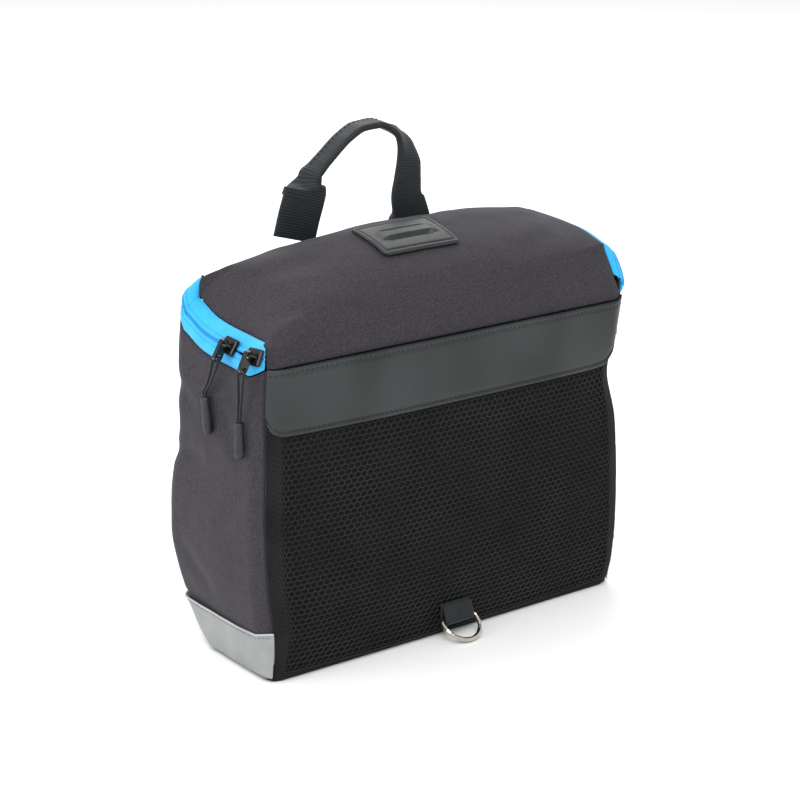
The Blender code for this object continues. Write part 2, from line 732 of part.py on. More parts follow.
def build_handle(material):
    """One strap, flat where it is sewn in at the lid's back edge and folded in half where it is held."""
    back = zip_edge(1, 5.0).y + STRAP_WALL / 2
    last = HANDLE_ROWS[-1].along
    count = 2 * last

    def fold_line(at):
        x = read(HANDLE_ROWS, "across", at) * HANDLE_SPAN / 2
        z = BODY_HEIGHT + LID_RISE * LID_ROWS[-1].up + read(HANDLE_ROWS, "up", at) * HANDLE_RISE
        return Vector((x, back, z))

    sections = []
    for k in range(count + 1):
        at = k * last / count
        tangent = (fold_line(min(at + 0.1, last)) - fold_line(max(at - 0.1, 0))).normalized()
        angle = math.radians(read(HANDLE_ROWS, "angle", at))
        lean = math.radians(read(HANDLE_ROWS, "lean", at))
        outer = Vector((math.cos(angle) * math.cos(lean), math.sin(lean), math.sin(angle) * math.cos(lean)))
        outer = (outer - tangent * outer.dot(tangent)).normalized()
        section = strap_section(fold_line(at), tangent, outer, read(HANDLE_ROWS, "fold", at))
        if k in (0, count):
            for place in section:
                place.z = seam_height(place.x) + 2 * GAP
        sections.append(section)
    mesh_data = bmesh.new()
    rings = [[mesh_data.verts.new(place) for place in section] for section in sections]
    size = len(rings[0])
    for low, high in zip(rings, rings[1:]):
        for j in range(size):
            mesh_data.faces.new([low[j], low[(j + 1) % size], high[(j + 1) % size], high[j]])
    half = size // 2
    for ring in (rings[0], rings[-1]):
        for j in range(half - 1):
            mesh_data.faces.new([ring[j], ring[j + 1], ring[size - 2 - j], ring[size - 1 - j]])
    new_object("handle", mesh_data, material)


def wall_at(side, back, height):
    """The side's point and normal at a distance behind the front edge and a height."""
    run, level = 2.5, height / BODY_HEIGHT
    for _ in range(40):
        point = body(side, run, level)
        run -= (point.y - FRONT_EDGE - back) / BODY_DEPTH
        run = min(max(run, 1.3), 3.6)
        level -= (point.z - height) / BODY_HEIGHT
    return point, body_normal(side, run, min(level, 0.985))


def curve_object(name, splines, material, wire=0.0, flat=0.0, sides=2, closed=True):
    """A curve through lists of points: a wire of a radius, or a flat plate of a thickness."""
    data = bpy.data.curves.new(name, "CURVE")
    data.dimensions = "2D" if flat else "3D"
    data.fill_mode = "BOTH" if flat else "FULL"
    data.extrude = flat / 2
    data.bevel_depth = wire
    data.bevel_resolution = sides
    data.use_fill_caps = True
    for points in splines:
        spline = data.splines.new("POLY")
        spline.points.add(len(points) - 1)
        for item, place in zip(spline.points, points):
            item.co = (*place, 1)
        spline.use_cyclic_u = closed
    obj = bpy.data.objects.new(name, data)
    obj.data.materials.append(material)
    return obj


def as_mesh(obj):
    """The curve made a mesh with its caps welded, in the parts' collection."""
    PARTS.objects.link(obj)
    bpy.context.view_layer.update()
    evaluated = obj.evaluated_get(bpy.context.evaluated_depsgraph_get())
    mesh = bpy.data.meshes.new_from_object(evaluated)
    welded = bmesh.new()
    welded.from_mesh(mesh)
    bmesh.ops.remove_doubles(welded, verts=welded.verts, dist=1e-6)
    welded.to_mesh(mesh)
    welded.free()
    solid = bpy.data.objects.new(obj.name, mesh)
    solid.matrix_world = obj.matrix_world
    curve, name = obj.data, obj.name
    bpy.data.objects.remove(obj)
    bpy.data.curves.remove(curve)
    solid.name = name
    PARTS.objects.link(solid)
    return solid


def circle(x, y, radius, count=12, start=0.0, end=2 * math.pi, whole=True):
    steps = count if whole else count - 1
    turns = [start + (end - start) * i / steps for i in range(count)]
    return [(x + radius * math.cos(turn), y + radius * math.sin(turn), 0) for turn in turns]


def frame_of(place, x_axis, z_axis):
    """Matrix at a place with the given X and Z axes."""
    z = z_axis.normalized()
    x = (x_axis - z * x_axis.dot(z)).normalized()
    return Matrix.Translation(place) @ Matrix((x, z.cross(x), z)).transposed().to_4x4()


def build_pull(pull, metal, gloss, cord, rubber):
    """A slider on the left of the zip with its tab, cord and rubber grip hanging from it."""
    side = -1
    ahead = zip_surface(side, pull.run + 0.03, SLIDER_PLACE) - zip_surface(side, pull.run - 0.03, SLIDER_PLACE)
    normal = zip_normal(side, pull.run, SLIDER_PLACE)
    seat = zip_surface(side, pull.run, SLIDER_PLACE) + normal * (2 * GAP + SLIDER_THICK / 2)
    bpy.ops.mesh.primitive_cube_add(size=1)
    slider = bpy.context.object
    slider.name = pull.name + "_zip_slider"
    slider.data.transform(Matrix.Diagonal((SLIDER_LENGTH, SLIDER_WIDTH, SLIDER_THICK, 1)))
    slider.matrix_world = frame_of(seat, ahead, normal)
    for collection in slider.users_collection:
        collection.objects.unlink(slider)
    PARTS.objects.link(slider)
    slider.data.materials.append(metal)
    bevel = slider.modifiers.new("rounded_edges", "BEVEL")
    bevel.width = SLIDER_THICK * 0.42
    bevel.segments = 2
    foot, top = -SLIDER_THICK / 4, SLIDER_THICK / 2 + BRIDGE_RISE
    half = BRIDGE_SPAN / 2
    arch = [(-half, 0, foot), (-half, 0, top * 0.6), (-half * 0.75, 0, top * 0.93), (-half * 0.4, 0, top)]
    arch += [(-x, y, z) for x, y, z in reversed(arch)]
    bridge = curve_object(pull.name + "_bridge", [arch], metal, wire=BRIDGE_WIRE, sides=1, closed=False)
    bridge.matrix_world = slider.matrix_world
    bridge = as_mesh(bridge)
    PARTS.objects.unlink(bridge)
    CUTTERS.objects.link(bridge)
    bridge.hide_render = True
    bridge.display_type = "WIRE"
    union = slider.modifiers.new("bridge", "BOOLEAN")
    union.operation = "UNION"
    union.object = bridge

    bar = seat + normal * top
    along = (ahead - normal * ahead.dot(normal)).normalized()
    slope = Vector((0, 0, -1))
    slope = (slope - normal * slope.dot(normal)).normalized()
    down = (slope - normal * TAB_DROP + along * TAB_TILT).normalized()
    axis = (along - down * along.dot(down)).normalized()
    outer = EYE_RADIUS + EYE_WALL
    outline_points = circle(0, 0, outer, 9, math.pi / 2, 3 * math.pi / 2, False)
    outline_points += circle(TAB_REACH, 0, outer, 9, -math.pi / 2, math.pi / 2, False)
    eyes = [circle(0, 0, EYE_RADIUS), circle(TAB_REACH, 0, EYE_RADIUS)]
    tab = curve_object(pull.name + "_pull_tab", [outline_points] + eyes, gloss, flat=TAB_WIDTH)
    tab.matrix_world = frame_of(bar, down, axis)
    as_mesh(tab)

    top_point, top_normal = wall_at(side, pull.top_back * BODY_DEPTH, pull.top_height * BODY_HEIGHT)
    low_point, low_normal = wall_at(side, pull.low_back * BODY_DEPTH, pull.low_height * BODY_HEIGHT)
    clear = GRIP_RADIUS + 2 * GAP
    grip_top = top_point + top_normal * clear
    grip_axis = (low_point + low_normal * clear - grip_top).normalized()
    build_grip(pull.name + "_pull_grip", grip_top, grip_axis, rubber)

    eye = bar + down * TAB_REACH
    apart = axis * (TAB_WIDTH / 2 + PULL_CORD + GAP)
    together = Vector((0, PULL_STRANDS / 2, 0)) * (1 if axis.y > 0 else -1)
    start = grip_top - grip_axis * GAP
    below = eye + down * (outer + PULL_CORD)
    strand = [(start, together), (start - grip_axis * PULL_CORD * 3, together)]
    strand += [(mix(start, below, 0.5), together * 1.3), (below, apart)]
    strand += [(eye + down * PULL_CORD, apart), (eye, apart - axis * PULL_CORD)]
    route = [place - away for place, away in strand] + [place + away for place, away in reversed(strand)]
    loop = curve_object(pull.name + "_pull_cord", [route], cord, wire=PULL_CORD, sides=1, closed=False)
    as_mesh(loop)


def build_grip(name, top, axis, material):
    """Rubber sleeve turned round its own axis, from its top end down."""
    r, length = GRIP_RADIUS, GRIP_LENGTH
    profile = ((0, 0), (0.72 * r, 0), (0.86 * r, 0.05), (0.90 * r, 0.30), (r, 0.80), (0.86 * r, 0.94), (0.45 * r, 1), (0, 1))
    mesh_data = bmesh.new()
    verts = [mesh_data.verts.new((x, 0, -share * length)) for x, share in profile]
    for a, b in zip(verts, verts[1:]):
        mesh_data.edges.new((a, b))
    mesh = bpy.data.meshes.new(name)
    mesh_data.to_mesh(mesh)
    mesh_data.free()
    mesh.materials.append(material)
    grip = bpy.data.objects.new(name, mesh)
    PARTS.objects.link(grip)
    grip.matrix_world = frame_of(top, Vector((0, 1, 0)), -axis)
    screw = grip.modifiers.new("turned", "SCREW")
    screw.axis = "Z"
    screw.steps = screw.render_steps = 10
    screw.use_merge_vertices = True
    screw.merge_threshold = 0.00001


def front_most(low, high, half_width):
    """The smallest Y of the net's outer face over a stretch of the front."""
    found = []
    for side in (-1, 1):
        for x in spread(0, half_width, 4):
            for height in spread(low, high, 6):
                run = x / (BASE_WIDTH / 2 - CORNER_RADIUS)
                found.append(body(side, run, height / BODY_HEIGHT).y)
    return min(found) - GAP - NET


def build_ring(webbing, metal):
    """The webbing loop low on the front, and the ring that swings in it on its straight bar."""
    outer = RING_WIRE + RING_PLAY + LOOP_WALL
    top = RING_BAR_HEIGHT + LOOP_HEIGHT
    face = front_most(RING_BAR_HEIGHT - outer, top, LOOP_WIDTH / 2) - GAP
    bar_y = face - outer
    profile = circle(0, 0, outer, 13, -math.pi, 0, False)
    profile += [(outer, LOOP_HEIGHT, 0), (outer - 2 * LOOP_WALL, LOOP_HEIGHT, 0)]
    channel = circle(0, 0, RING_WIRE + RING_PLAY, 14)
    loop = curve_object("ring_loop", [profile, channel], webbing, flat=LOOP_WIDTH)
    loop.matrix_world = Matrix.Translation((0, bar_y, RING_BAR_HEIGHT)) @ Matrix((
        (0, 0, 1, 0), (1, 0, 0, 0), (0, 1, 0, 0), (0, 0, 0, 1)))
    as_mesh(loop)

    half = RING_WIDTH / 2
    corner = half * 0.22
    bow_radius = half
    straight = RING_REACH - bow_radius
    line = [(-x, 0, 0) for x in (0.0, half - corner)]
    line += [(-half + corner - corner * math.sin(t), corner - corner * math.cos(t), 0) for t in (0.5, 1.05, math.pi / 2)]
    line += [(-bow_radius * math.cos(t), straight + bow_radius * math.sin(t), 0) for t in spread(0, math.pi, 14)]
    line += [(-x, y, z) for x, y, z in reversed(line[1:5])]
    hang = math.asin((RING_BAR_HEIGHT - RING_WIRE - GAP) / RING_REACH)
    ring = curve_object("d_ring", [line], metal, wire=RING_WIRE, sides=2)
    pivot = bpy.data.objects.new("ring_pivot", None)
    PARTS.objects.link(pivot)
    pivot.location = (0, bar_y, RING_BAR_HEIGHT)
    pivot.rotation_euler = (math.pi + hang, 0, 0)
    bpy.context.view_layer.update()
    ring.matrix_world = pivot.matrix_world
    solid = as_mesh(ring)
    solid.parent = pivot
    solid.matrix_parent_inverse = Matrix.Identity(4)
    solid.matrix_basis = Matrix.Identity(4)


def build_plate(material):
    """Plain plate on the flat of the back, where a handlebar bracket would be fastened."""
    x, z, r = PLATE_WIDTH / 2 - PLATE_ROUNDING, PLATE_HEIGHT / 2 - PLATE_ROUNDING, PLATE_ROUNDING
    outline_points = []
    for cx, cz, start in ((x, z, 0), (-x, z, 90), (-x, -z, 180), (x, -z, 270)):
        turn = math.radians(start)
        outline_points += circle(cx, cz, r, 6, turn, turn + math.pi / 2, False)
    plate = curve_object("mount_plate", [outline_points], material, flat=PLATE_WALL)
    back = FRONT_EDGE + SECTIONS[-1].middle * BODY_DEPTH + GAP + PLATE_WALL / 2
    plate.matrix_world = Matrix.Translation((0, back, PLATE_CENTRE)) @ Matrix.Rotation(math.pi / 2, 4, "X")
    as_mesh(plate)


def to_linear(code):
    return tuple((int(code[i:i + 2], 16) / 255) ** 2.2 for i in (0, 2, 4))


def clear_scene():
    for old in list(bpy.data.objects):
        bpy.data.objects.remove(old, do_unlink=True)


def new_collection(name):
    collection = bpy.data.collections.new(name)
    bpy.context.scene.collection.children.link(collection)
    return collection


clear_scene()
PARTS = new_collection(NAME)
CUTTERS = new_collection("cutters")

cloth = finish("charcoal_cloth", to_linear("3b393d"), 0.85)
net = finish("black_net", to_linear("1b1b1e"), 0.7)
vinyl = finish("smooth_vinyl", to_linear("343838"), 0.4)
blue = finish("blue_tape", to_linear("32b4f0"), 0.6)
grey = finish("reflective_grey", to_linear("a8abaa"), 0.4)
webbing = finish("black_webbing", to_linear("23282b"), 0.75)
rubber = finish("dark_rubber", to_linear("2c2f2f"), 0.6)
gloss = finish("gloss_black", to_linear("161616"), 0.25)
steel = finish("nickel_steel", to_linear("cfc8ba"), 0.2, 1.0)
plastic = finish("plate_plastic", to_linear("202122"), 0.5)

build_base_panel(cloth)
build_front(cloth, net, vinyl)
build_side("left", -1, cloth, grey)
build_side("right", 1, cloth, grey)
build_back_panel(cloth)
build_lid(cloth)
build_zip(blue)
for pull in PULLS:
    build_pull(pull, gloss, gloss, webbing, rubber)
build_handle(webbing)
build_patch(rubber)
build_ring(webbing, steel)
build_plate(plastic)
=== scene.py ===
"""Looks of a soft bicycle handlebar bag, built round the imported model.

Every cloth piece follows the same form as its solid, on a finer grid, with the folds, seams, stitches and
weave that the solids leave out. Lengths are metres, +Z is up and the front with the net faces -Y.
"""

import json
import logging
import math
from bisect import bisect_right
from dataclasses import dataclass, field
from enum import Enum
from typing import Callable, Dict, List, Optional, Sequence, Tuple

import bpy
import numpy as np
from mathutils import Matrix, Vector

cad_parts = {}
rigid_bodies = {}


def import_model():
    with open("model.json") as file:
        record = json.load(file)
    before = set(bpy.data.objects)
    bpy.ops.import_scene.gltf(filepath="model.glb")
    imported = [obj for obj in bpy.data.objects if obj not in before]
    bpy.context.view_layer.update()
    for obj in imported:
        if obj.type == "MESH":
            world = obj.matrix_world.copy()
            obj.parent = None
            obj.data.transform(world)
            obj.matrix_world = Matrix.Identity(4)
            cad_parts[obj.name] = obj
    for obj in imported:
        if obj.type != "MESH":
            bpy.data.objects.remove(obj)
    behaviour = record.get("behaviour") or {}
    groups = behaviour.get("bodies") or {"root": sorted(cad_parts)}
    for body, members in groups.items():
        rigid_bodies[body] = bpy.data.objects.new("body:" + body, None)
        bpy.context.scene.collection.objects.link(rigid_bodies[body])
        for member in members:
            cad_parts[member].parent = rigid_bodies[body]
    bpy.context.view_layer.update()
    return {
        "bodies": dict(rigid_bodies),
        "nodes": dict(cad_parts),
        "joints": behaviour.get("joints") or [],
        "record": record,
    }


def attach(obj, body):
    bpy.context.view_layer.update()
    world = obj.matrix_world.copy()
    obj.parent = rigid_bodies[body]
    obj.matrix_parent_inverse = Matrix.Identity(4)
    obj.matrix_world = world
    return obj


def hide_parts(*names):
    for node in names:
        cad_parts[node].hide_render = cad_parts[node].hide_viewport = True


LOG = logging.getLogger("handlebar_bag")

Colour = Tuple[float, float, float]


def linear(code: str) -> Colour:
    """Turns a display colour into a linear one.

    Args:
        code: six hexadecimal digits.

    Returns:
        Red, green and blue, from 0 to 1.
    """
    return tuple((int(code[i:i + 2], 16) / 255) ** 2.2 for i in (0, 2, 4))


def mix(a, b, share: float):
    """The value a share of the way from a to b."""
    return a + (b - a) * share


def ease(t: float) -> float:
    """Goes from 0 to 1 with level ends."""
    t = min(max(t, 0.0), 1.0)
    return t * t * (3 - 2 * t)


def spread(start: float, end: float, count: int) -> List[float]:
    """Even values from start to end, in count steps."""
    return [mix(start, end, i / count) for i in range(count + 1)]


class Body(Enum):
    """Bodies of the frame that pieces ride on."""

    BAG = "bag"
    RING = "ring"


class Edge(Enum):
    """Edges of a panel seen from outside."""

    LEFT = "left"
    RIGHT = "right"
    TOP = "top"
    BOTTOM = "bottom"


class Slot(Enum):
    """Material slots of the record."""

    CLOTH = "charcoal_cloth"
    NET = "black_net"
    VINYL = "smooth_vinyl"
    BLUE = "blue_tape"
    GREY = "reflective_grey"
    WEBBING = "black_webbing"
    RUBBER = "dark_rubber"
    GLOSS = "gloss_black"
    STEEL = "nickel_steel"
    PLASTIC = "plate_plastic"


class Curve:
    """A smooth curve without overshoot through a table's rows."""

    def __init__(self, keys: Sequence[float], values: Sequence[float]) -> None:
        """Works out the slope at each row.

        Args:
            keys: places of the rows, rising.
            values: value at each place.
        """
        self.keys = list(keys)
        self.values = list(values)
        steps = [(b - a) / (q - p) for a, b, p, q in zip(values, values[1:], keys, keys[1:])]
        self.slopes = [steps[0]]
        for before, after in zip(steps, steps[1:]):
            flat = before * after <= 0
            self.slopes.append(0.0 if flat else 2 * before * after / (before + after))
        self.slopes.append(steps[-1])

    def at(self, key: float) -> float:
        """Reads the curve.

        Args:
            key: place to read at.

        Returns:
            The value there, or the end value beyond the ends.
        """
        if key <= self.keys[0]:
            return self.values[0]
        if key >= self.keys[-1]:
            return self.values[-1]
        i = bisect_right(self.keys, key) - 1
        width = self.keys[i + 1] - self.keys[i]
        t = (key - self.keys[i]) / width
        start = (2 * t**3 - 3 * t**2 + 1) * self.values[i] + (t**3 - 2 * t**2 + t) * width * self.slopes[i]
        end = (-2 * t**3 + 3 * t**2) * self.values[i + 1] + (t**3 - t**2) * width * self.slopes[i + 1]
        return start + end


def curves(rows: Sequence[Sequence[float]]) -> List[Curve]:
    """Curves for every column after the first of a table."""
    columns = list(zip(*rows))
    return [Curve(columns[0], column) for column in columns[1:]]


@dataclass
class BagForm:
    """The bag's outer surfaces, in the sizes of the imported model."""

    base_width: float = 0.250
    base_depth: float = 0.066
    body_depth: float = 0.100
    body_height: float = 0.180
    lid_rise: float = 0.051
    lid_depth: float = 0.0875
    corner_radius: float = 0.014
    front_belly: float = 0.003
    band_height: float = 0.039
    hem_height: float = 0.005
    turn_up: float = 0.0026
    strip_height: float = 0.026
    strip_lift: float = 0.14
    zip_rise: float = 0.017
    zip_inset: float = 0.011
    zip_bulge: float = 0.0035
    side_seam: float = 1.41
    back_seam: float = 3.65
    cache: Dict[Tuple[str, int, float, float], Vector] = field(default_factory=dict)

    # height, left, right, front, back, middle of the back, corner radius
    sections = (
        (0.000, 1.000, 1.000, 0.000, 0.650, 0.650, 0.55),
        (0.040, 1.008, 1.016, 0.000, 0.745, 0.740, 0.65),
        (0.085, 1.010, 1.036, 0.004, 0.840, 0.825, 0.75),
        (0.150, 1.016, 1.056, 0.008, 0.955, 0.905, 0.90),
        (0.220, 1.032, 1.068, 0.011, 1.000, 0.950, 1.00),
        (0.310, 1.050, 1.066, 0.014, 1.020, 0.975, 1.00),
        (0.410, 1.058, 1.062, 0.015, 1.005, 0.975, 1.00),
        (0.510, 1.060, 1.054, 0.013, 0.980, 0.975, 1.00),
        (0.600, 1.054, 1.044, 0.011, 0.950, 0.975, 1.00),
        (0.680, 1.048, 1.028, 0.008, 0.912, 0.975, 1.00),
        (0.770, 1.044, 1.008, 0.006, 0.890, 0.975, 0.95),
        (0.870, 1.042, 1.044, 0.003, 0.885, 0.975, 0.95),
        (1.000, 1.028, 1.080, 0.000, 0.900, 0.975, 0.95),
    )
    # run, left, right
    rim = (
        (0.00, 1.000, 1.000), (1.00, 1.000, 1.002), (1.41, 1.000, 1.014), (1.70, 0.986, 1.050),
        (2.00, 0.974, 1.085), (2.40, 0.982, 1.122), (2.70, 0.996, 1.130), (3.00, 1.036, 1.134),
        (3.50, 1.080, 1.136), (4.00, 1.098, 1.136), (4.50, 1.120, 1.140), (5.00, 1.140, 1.140),
    )
    # along, back, up, run
    lid_rows = (
        (0.00, 0.000, 0.000, 1.41), (0.10, 0.006, 0.190, 1.46), (0.22, 0.060, 0.440, 1.80),
        (0.34, 0.180, 0.690, 2.10), (0.46, 0.345, 0.865, 2.36), (0.58, 0.520, 0.955, 2.58),
        (0.70, 0.690, 1.000, 2.80), (0.82, 0.850, 0.970, 3.06), (1.00, 1.000, 0.824, 3.50),
    )
    # across, band edge, hem
    front_rows = (
        (-1.00, 0.25, 2.6), (-0.88, 0.10, 2.0), (-0.62, 0.02, 1.0), (-0.20, 0.00, 0.7),
        (0.20, 0.00, 0.8), (0.62, 0.00, 1.1), (0.88, 0.14, 1.3), (1.00, 0.40, 1.5),
    )
    # side, forward, height, reach forward, reach up, depth
    dents = (
        (-1, 0.80, 0.640, 0.24, 0.070, 0.20), (-1, 0.30, 0.850, 0.14, 0.110, 0.20),
        (-1, 0.45, 0.330, 0.20, 0.160, -0.10), (1, 0.12, 0.740, 0.16, 0.090, 0.26),
        (1, 0.55, 0.520, 0.26, 0.180, -0.10),
    )

    def __post_init__(self) -> None:
        """Prepares the curves of each table."""
        self.left, self.right, self.front, self.back, self.middle, self.radius = curves(self.sections)
        self.rim_left, self.rim_right = curves(self.rim)
        self.lid_back, self.lid_up, self.lid_run = curves(self.lid_rows)
        self.band_edge, self.hem_edge = curves(self.front_rows)

    @property
    def front_edge(self) -> float:
        """Y of the base's front edge."""
        return -self.base_depth / 2

    def rim_height(self, side: int, run: float) -> float:
        """Height of the rim at a run."""
        return self.body_height * (self.rim_left if side < 0 else self.rim_right).at(run)

    def outline(self, side: int, run: float, level: float) -> Tuple[float, float]:
        """Outline of the body at a level.

        Args:
            side: -1 left, 1 right.
            run: 0 middle of the front, 1 to 2 front corner, 3 to 4 back corner, 5 middle of the back.
            level: 0 floor, 1 rim.

        Returns:
            X and Y.
        """
        half = (self.left if side < 0 else self.right).at(level) * self.base_width / 2
        front = self.front_edge - self.front.at(level) * self.body_depth
        back = self.front_edge + self.back.at(level) * self.body_depth
        middle = self.front_edge + self.middle.at(level) * self.body_depth
        radius = self.radius.at(level) * self.corner_radius
        turn = (run - math.floor(run)) * math.pi / 2
        if run <= 1:
            x, y = run * (half - radius), front
        elif run <= 2:
            turn = (run - 1) * math.pi / 2
            x, y = half - radius + radius * math.sin(turn), front + radius - radius * math.cos(turn)
        elif run <= 3:
            x, y = half, mix(front + radius, back - radius, run - 2)
        elif run <= 4:
            turn = (run - 3) * math.pi / 2
            x, y = half - radius + radius * math.cos(turn), back - radius + radius * math.sin(turn)
        else:
            x, y = mix(half - radius, 0.0, run - 4), back
        across = x / half
        if run < 2:
            y -= self.front_belly * (1 - across**2) * math.sin(math.pi * min(max(level, 0), 1))
        if run > 3:
            y += (middle - back) * ease((0.93 - across) / 0.34)
        return side * x, y

    def plain_body(self, side: int, run: float, level: float) -> Vector:
        """Point of the body before its dents."""
        x, y = self.outline(side, run, level)
        return Vector((x, y, level * self.rim_height(side, run)))

    def facing(self, surface: Callable, side: int, run: float, level: float, step: float = 0.01) -> Vector:
        """Outward unit normal of a surface of run and level."""
        along = surface(side, run + step, level) - surface(side, run - step, level)
        up = surface(side, run, level + step) - surface(side, run, level - step)
        return (along.cross(up) if side > 0 else up.cross(along)).normalized()

    def body(self, side: int, run: float, level: float) -> Vector:
        """Point of the body's outer surface."""
        key = ("body", side, run, level)
        if key not in self.cache:
            point = self.plain_body(side, run, level)
            push = 0.0
            for dent_side, forward, height, reach, reach_up, depth in self.dents:
                if dent_side * side > 0:
                    wide = reach * self.body_depth
                    away_x = (dent_side * self.base_width / 2 - point.x) / wide
                    away_y = (self.front_edge + forward * self.body_depth - point.y) / wide
                    away_z = (height * self.body_height - point.z) / (reach_up * self.body_height)
                    push += depth * math.exp(-(away_x**2 + away_y**2 + away_z**2))
            normal = self.facing(self.plain_body, side, run, level)
            self.cache[key] = point - normal * push * self.corner_radius
        return self.cache[key]

    def body_normal(self, side: int, run: float, level: float) -> Vector:
        """Outward unit normal of the body."""
        return self.facing(self.body, side, min(max(run, 0.02), 4.98), level)

    def zip_edge(self, side: int, run: float) -> Vector:
        """Inner edge of the zip, where the lid is sewn to it."""
        key = ("zip", side, run, 0.0)
        if key not in self.cache:
            inward = -self.body_normal(side, run, 1.0)
            inward.z = 0
            inward.normalize()
            full = ease((run - 1.2) / 0.8)
            rise = Vector((0, 0, self.zip_rise * mix(0.5, 1.0, full)))
            inset = inward * self.zip_inset * mix(0.25, 1.0, full)
            self.cache[key] = self.body(side, run, 1.0) + inset + rise
        return self.cache[key]

    def zip_surface(self, side: int, run: float, share: float) -> Vector:
        """Point of the zip from the lid's edge, 0, to the rim, 1."""
        top, low = self.zip_edge(side, run), self.body(side, run, 1.0)
        chord = low - top
        outward = self.body_normal(side, run, 1.0)
        outward.z = 0
        outward.normalize()
        bow = (outward - chord * outward.dot(chord) / chord.length_squared).normalized()
        return mix(top, low, share) + bow * self.zip_bulge * 4 * share * (1 - share)

    def lid_edge(self, side: int, along: float) -> Vector:
        """Edge of the lid: up the front end of the zip, then back along it."""
        first, run = self.lid_rows[1][0], self.lid_rows[1][3]
        if along < first:
            return mix(self.body(side, self.side_seam, 1.0), self.zip_edge(side, run), along / first)
        return self.zip_edge(side, self.lid_run.at(along))

    def lid_blend(self, across: float, along: float) -> Vector:
        """The lid between its middle line and its side edges."""
        edge = self.lid_edge(-1 if across < 0 else 1, along)
        y = self.front_edge + self.lid_back.at(along) * self.lid_depth
        z = self.body_height + self.lid_up.at(along) * self.lid_rise
        share = abs(across)
        return Vector((edge.x * share, mix(y, edge.y, share**2.4), mix(z, edge.z, share**3.2)))

    def lid(self, across: float, along: float) -> Vector:
        """Point of the lid, from -1 to 1 across and from its front seam, 0, to its back, 1."""
        side, share = (-1 if across < 0 else 1), abs(across)
        at_front = self.body(side, self.side_seam * share, 1.0) - self.lid_blend(across, 0.0)
        at_back = self.zip_edge(side, mix(5.0, self.lid_rows[-1][3], share)) - self.lid_blend(across, 1.0)
        return self.lid_blend(across, along) + at_front * (1 - along) ** 3 + at_back * along**3

    def front_hem(self, side: int, run: float) -> float:
        """Level of the top of the hem across the front."""
        return self.hem_edge.at(side * run / self.side_seam) * self.hem_height / self.rim_height(side, run)

    def side_hem(self, side: int, run: float) -> float:
        """Level of the top of the hem on the sides and the back."""
        return self.turn_up / self.rim_height(side, run)

    def foot(self, side: int, run: float) -> float:
        """Level of the sides' lower edge, which leaves the front's hem just behind the seam."""
        return mix(self.front_hem(side, run), self.side_hem(side, run), ease((run - self.side_seam) / 0.1))

    def band_bottom(self, side: int, run: float) -> float:
        """Level of the band's lower edge."""
        share = self.band_edge.at(side * run / self.side_seam)
        return 1 - self.band_height * (1 - share) / self.body_height

    def strip_top(self, side: int, run: float) -> float:
        """Level of the top of the reflective strips."""
        lift = 1 + self.strip_lift * ease((2.35 - run) / 0.95)
        return self.strip_height * lift / self.rim_height(side, run)


@dataclass
class Ripple:
    """Soft unevenness of cloth: a sum of seeded waves in space."""

    pitch: float
    height: float
    seed: int = 1
    waves: int = 14

    def at(self, points: np.ndarray) -> np.ndarray:
        """Height at each point.

        Args:
            points: array of places, the last axis holding x, y and z.

        Returns:
            Signed heights in metres.
        """
        rng = np.random.default_rng(self.seed)
        total = np.zeros(points.shape[:-1])
        for _ in range(self.waves):
            heading = rng.normal(size=3)
            heading /= np.linalg.norm(heading)
            wave = 2 * math.pi / (self.pitch * rng.uniform(0.6, 1.9))
            total += np.sin(points @ heading * wave + rng.uniform(0, 2 * math.pi))
        return total * self.height / math.sqrt(self.waves)


@dataclass(frozen=True)
class Crease:
    """A fold line pressed into the cloth between two places."""

    start: Colour
    end: Colour
    depth: float
    width: float

    def at(self, points: np.ndarray) -> np.ndarray:
        """Signed height of the crease at each point."""
        a, b = np.array(self.start), np.array(self.end)
        t = np.clip(((points - a) @ (b - a)) / ((b - a) @ (b - a)), 0, 1)
        away = np.linalg.norm(points - (a + t[..., None] * (b - a)), axis=-1) / self.width
        ends = np.sin(np.pi * (0.15 + 0.7 * t))
        return -self.depth * ends * (np.exp(-away**2) - 0.45 * np.exp(-(away - 1.6) ** 2))


def finer(grid: np.ndarray, count: int) -> np.ndarray:
    """Smoothly refines a grid along its first axis, through its own rows.

    Args:
        grid: rows of places.
        count: steps between two rows.

    Returns:
        The finer grid.
    """
    padded = np.concatenate([2 * grid[:1] - grid[1:2], grid, 2 * grid[-1:] - grid[-2:-1]])
    made = []
    for i in range(1, len(padded) - 2):
        p, a, b, n = padded[i - 1], padded[i], padded[i + 1], padded[i + 2]
        for k in range(count):
            t = k / count
            made.append(0.5 * (2 * a + (b - p) * t + (2 * p - 5 * a + 4 * b - n) * t**2
                               + (3 * a - p - 3 * b + n) * t**3))
    made.append(padded[-2])
    return np.array(made)


def border_fade(shape: Tuple[int, int], reach: int) -> np.ndarray:
    """0 on a grid's border, rising to 1 over a number of rows."""
    rows = np.minimum(np.arange(shape[0]), np.arange(shape[0])[::-1])[:, None]
    columns = np.minimum(np.arange(shape[1]), np.arange(shape[1])[::-1])[None, :]
    t = np.clip(np.minimum(rows, columns) / reach, 0, 1)
    return t * t * (3 - 2 * t)


def ridge(away: np.ndarray, place: float, width: float) -> np.ndarray:
    """A round ridge of height 1 at a distance from an edge."""
    return np.exp(-((away - place) / width) ** 2)


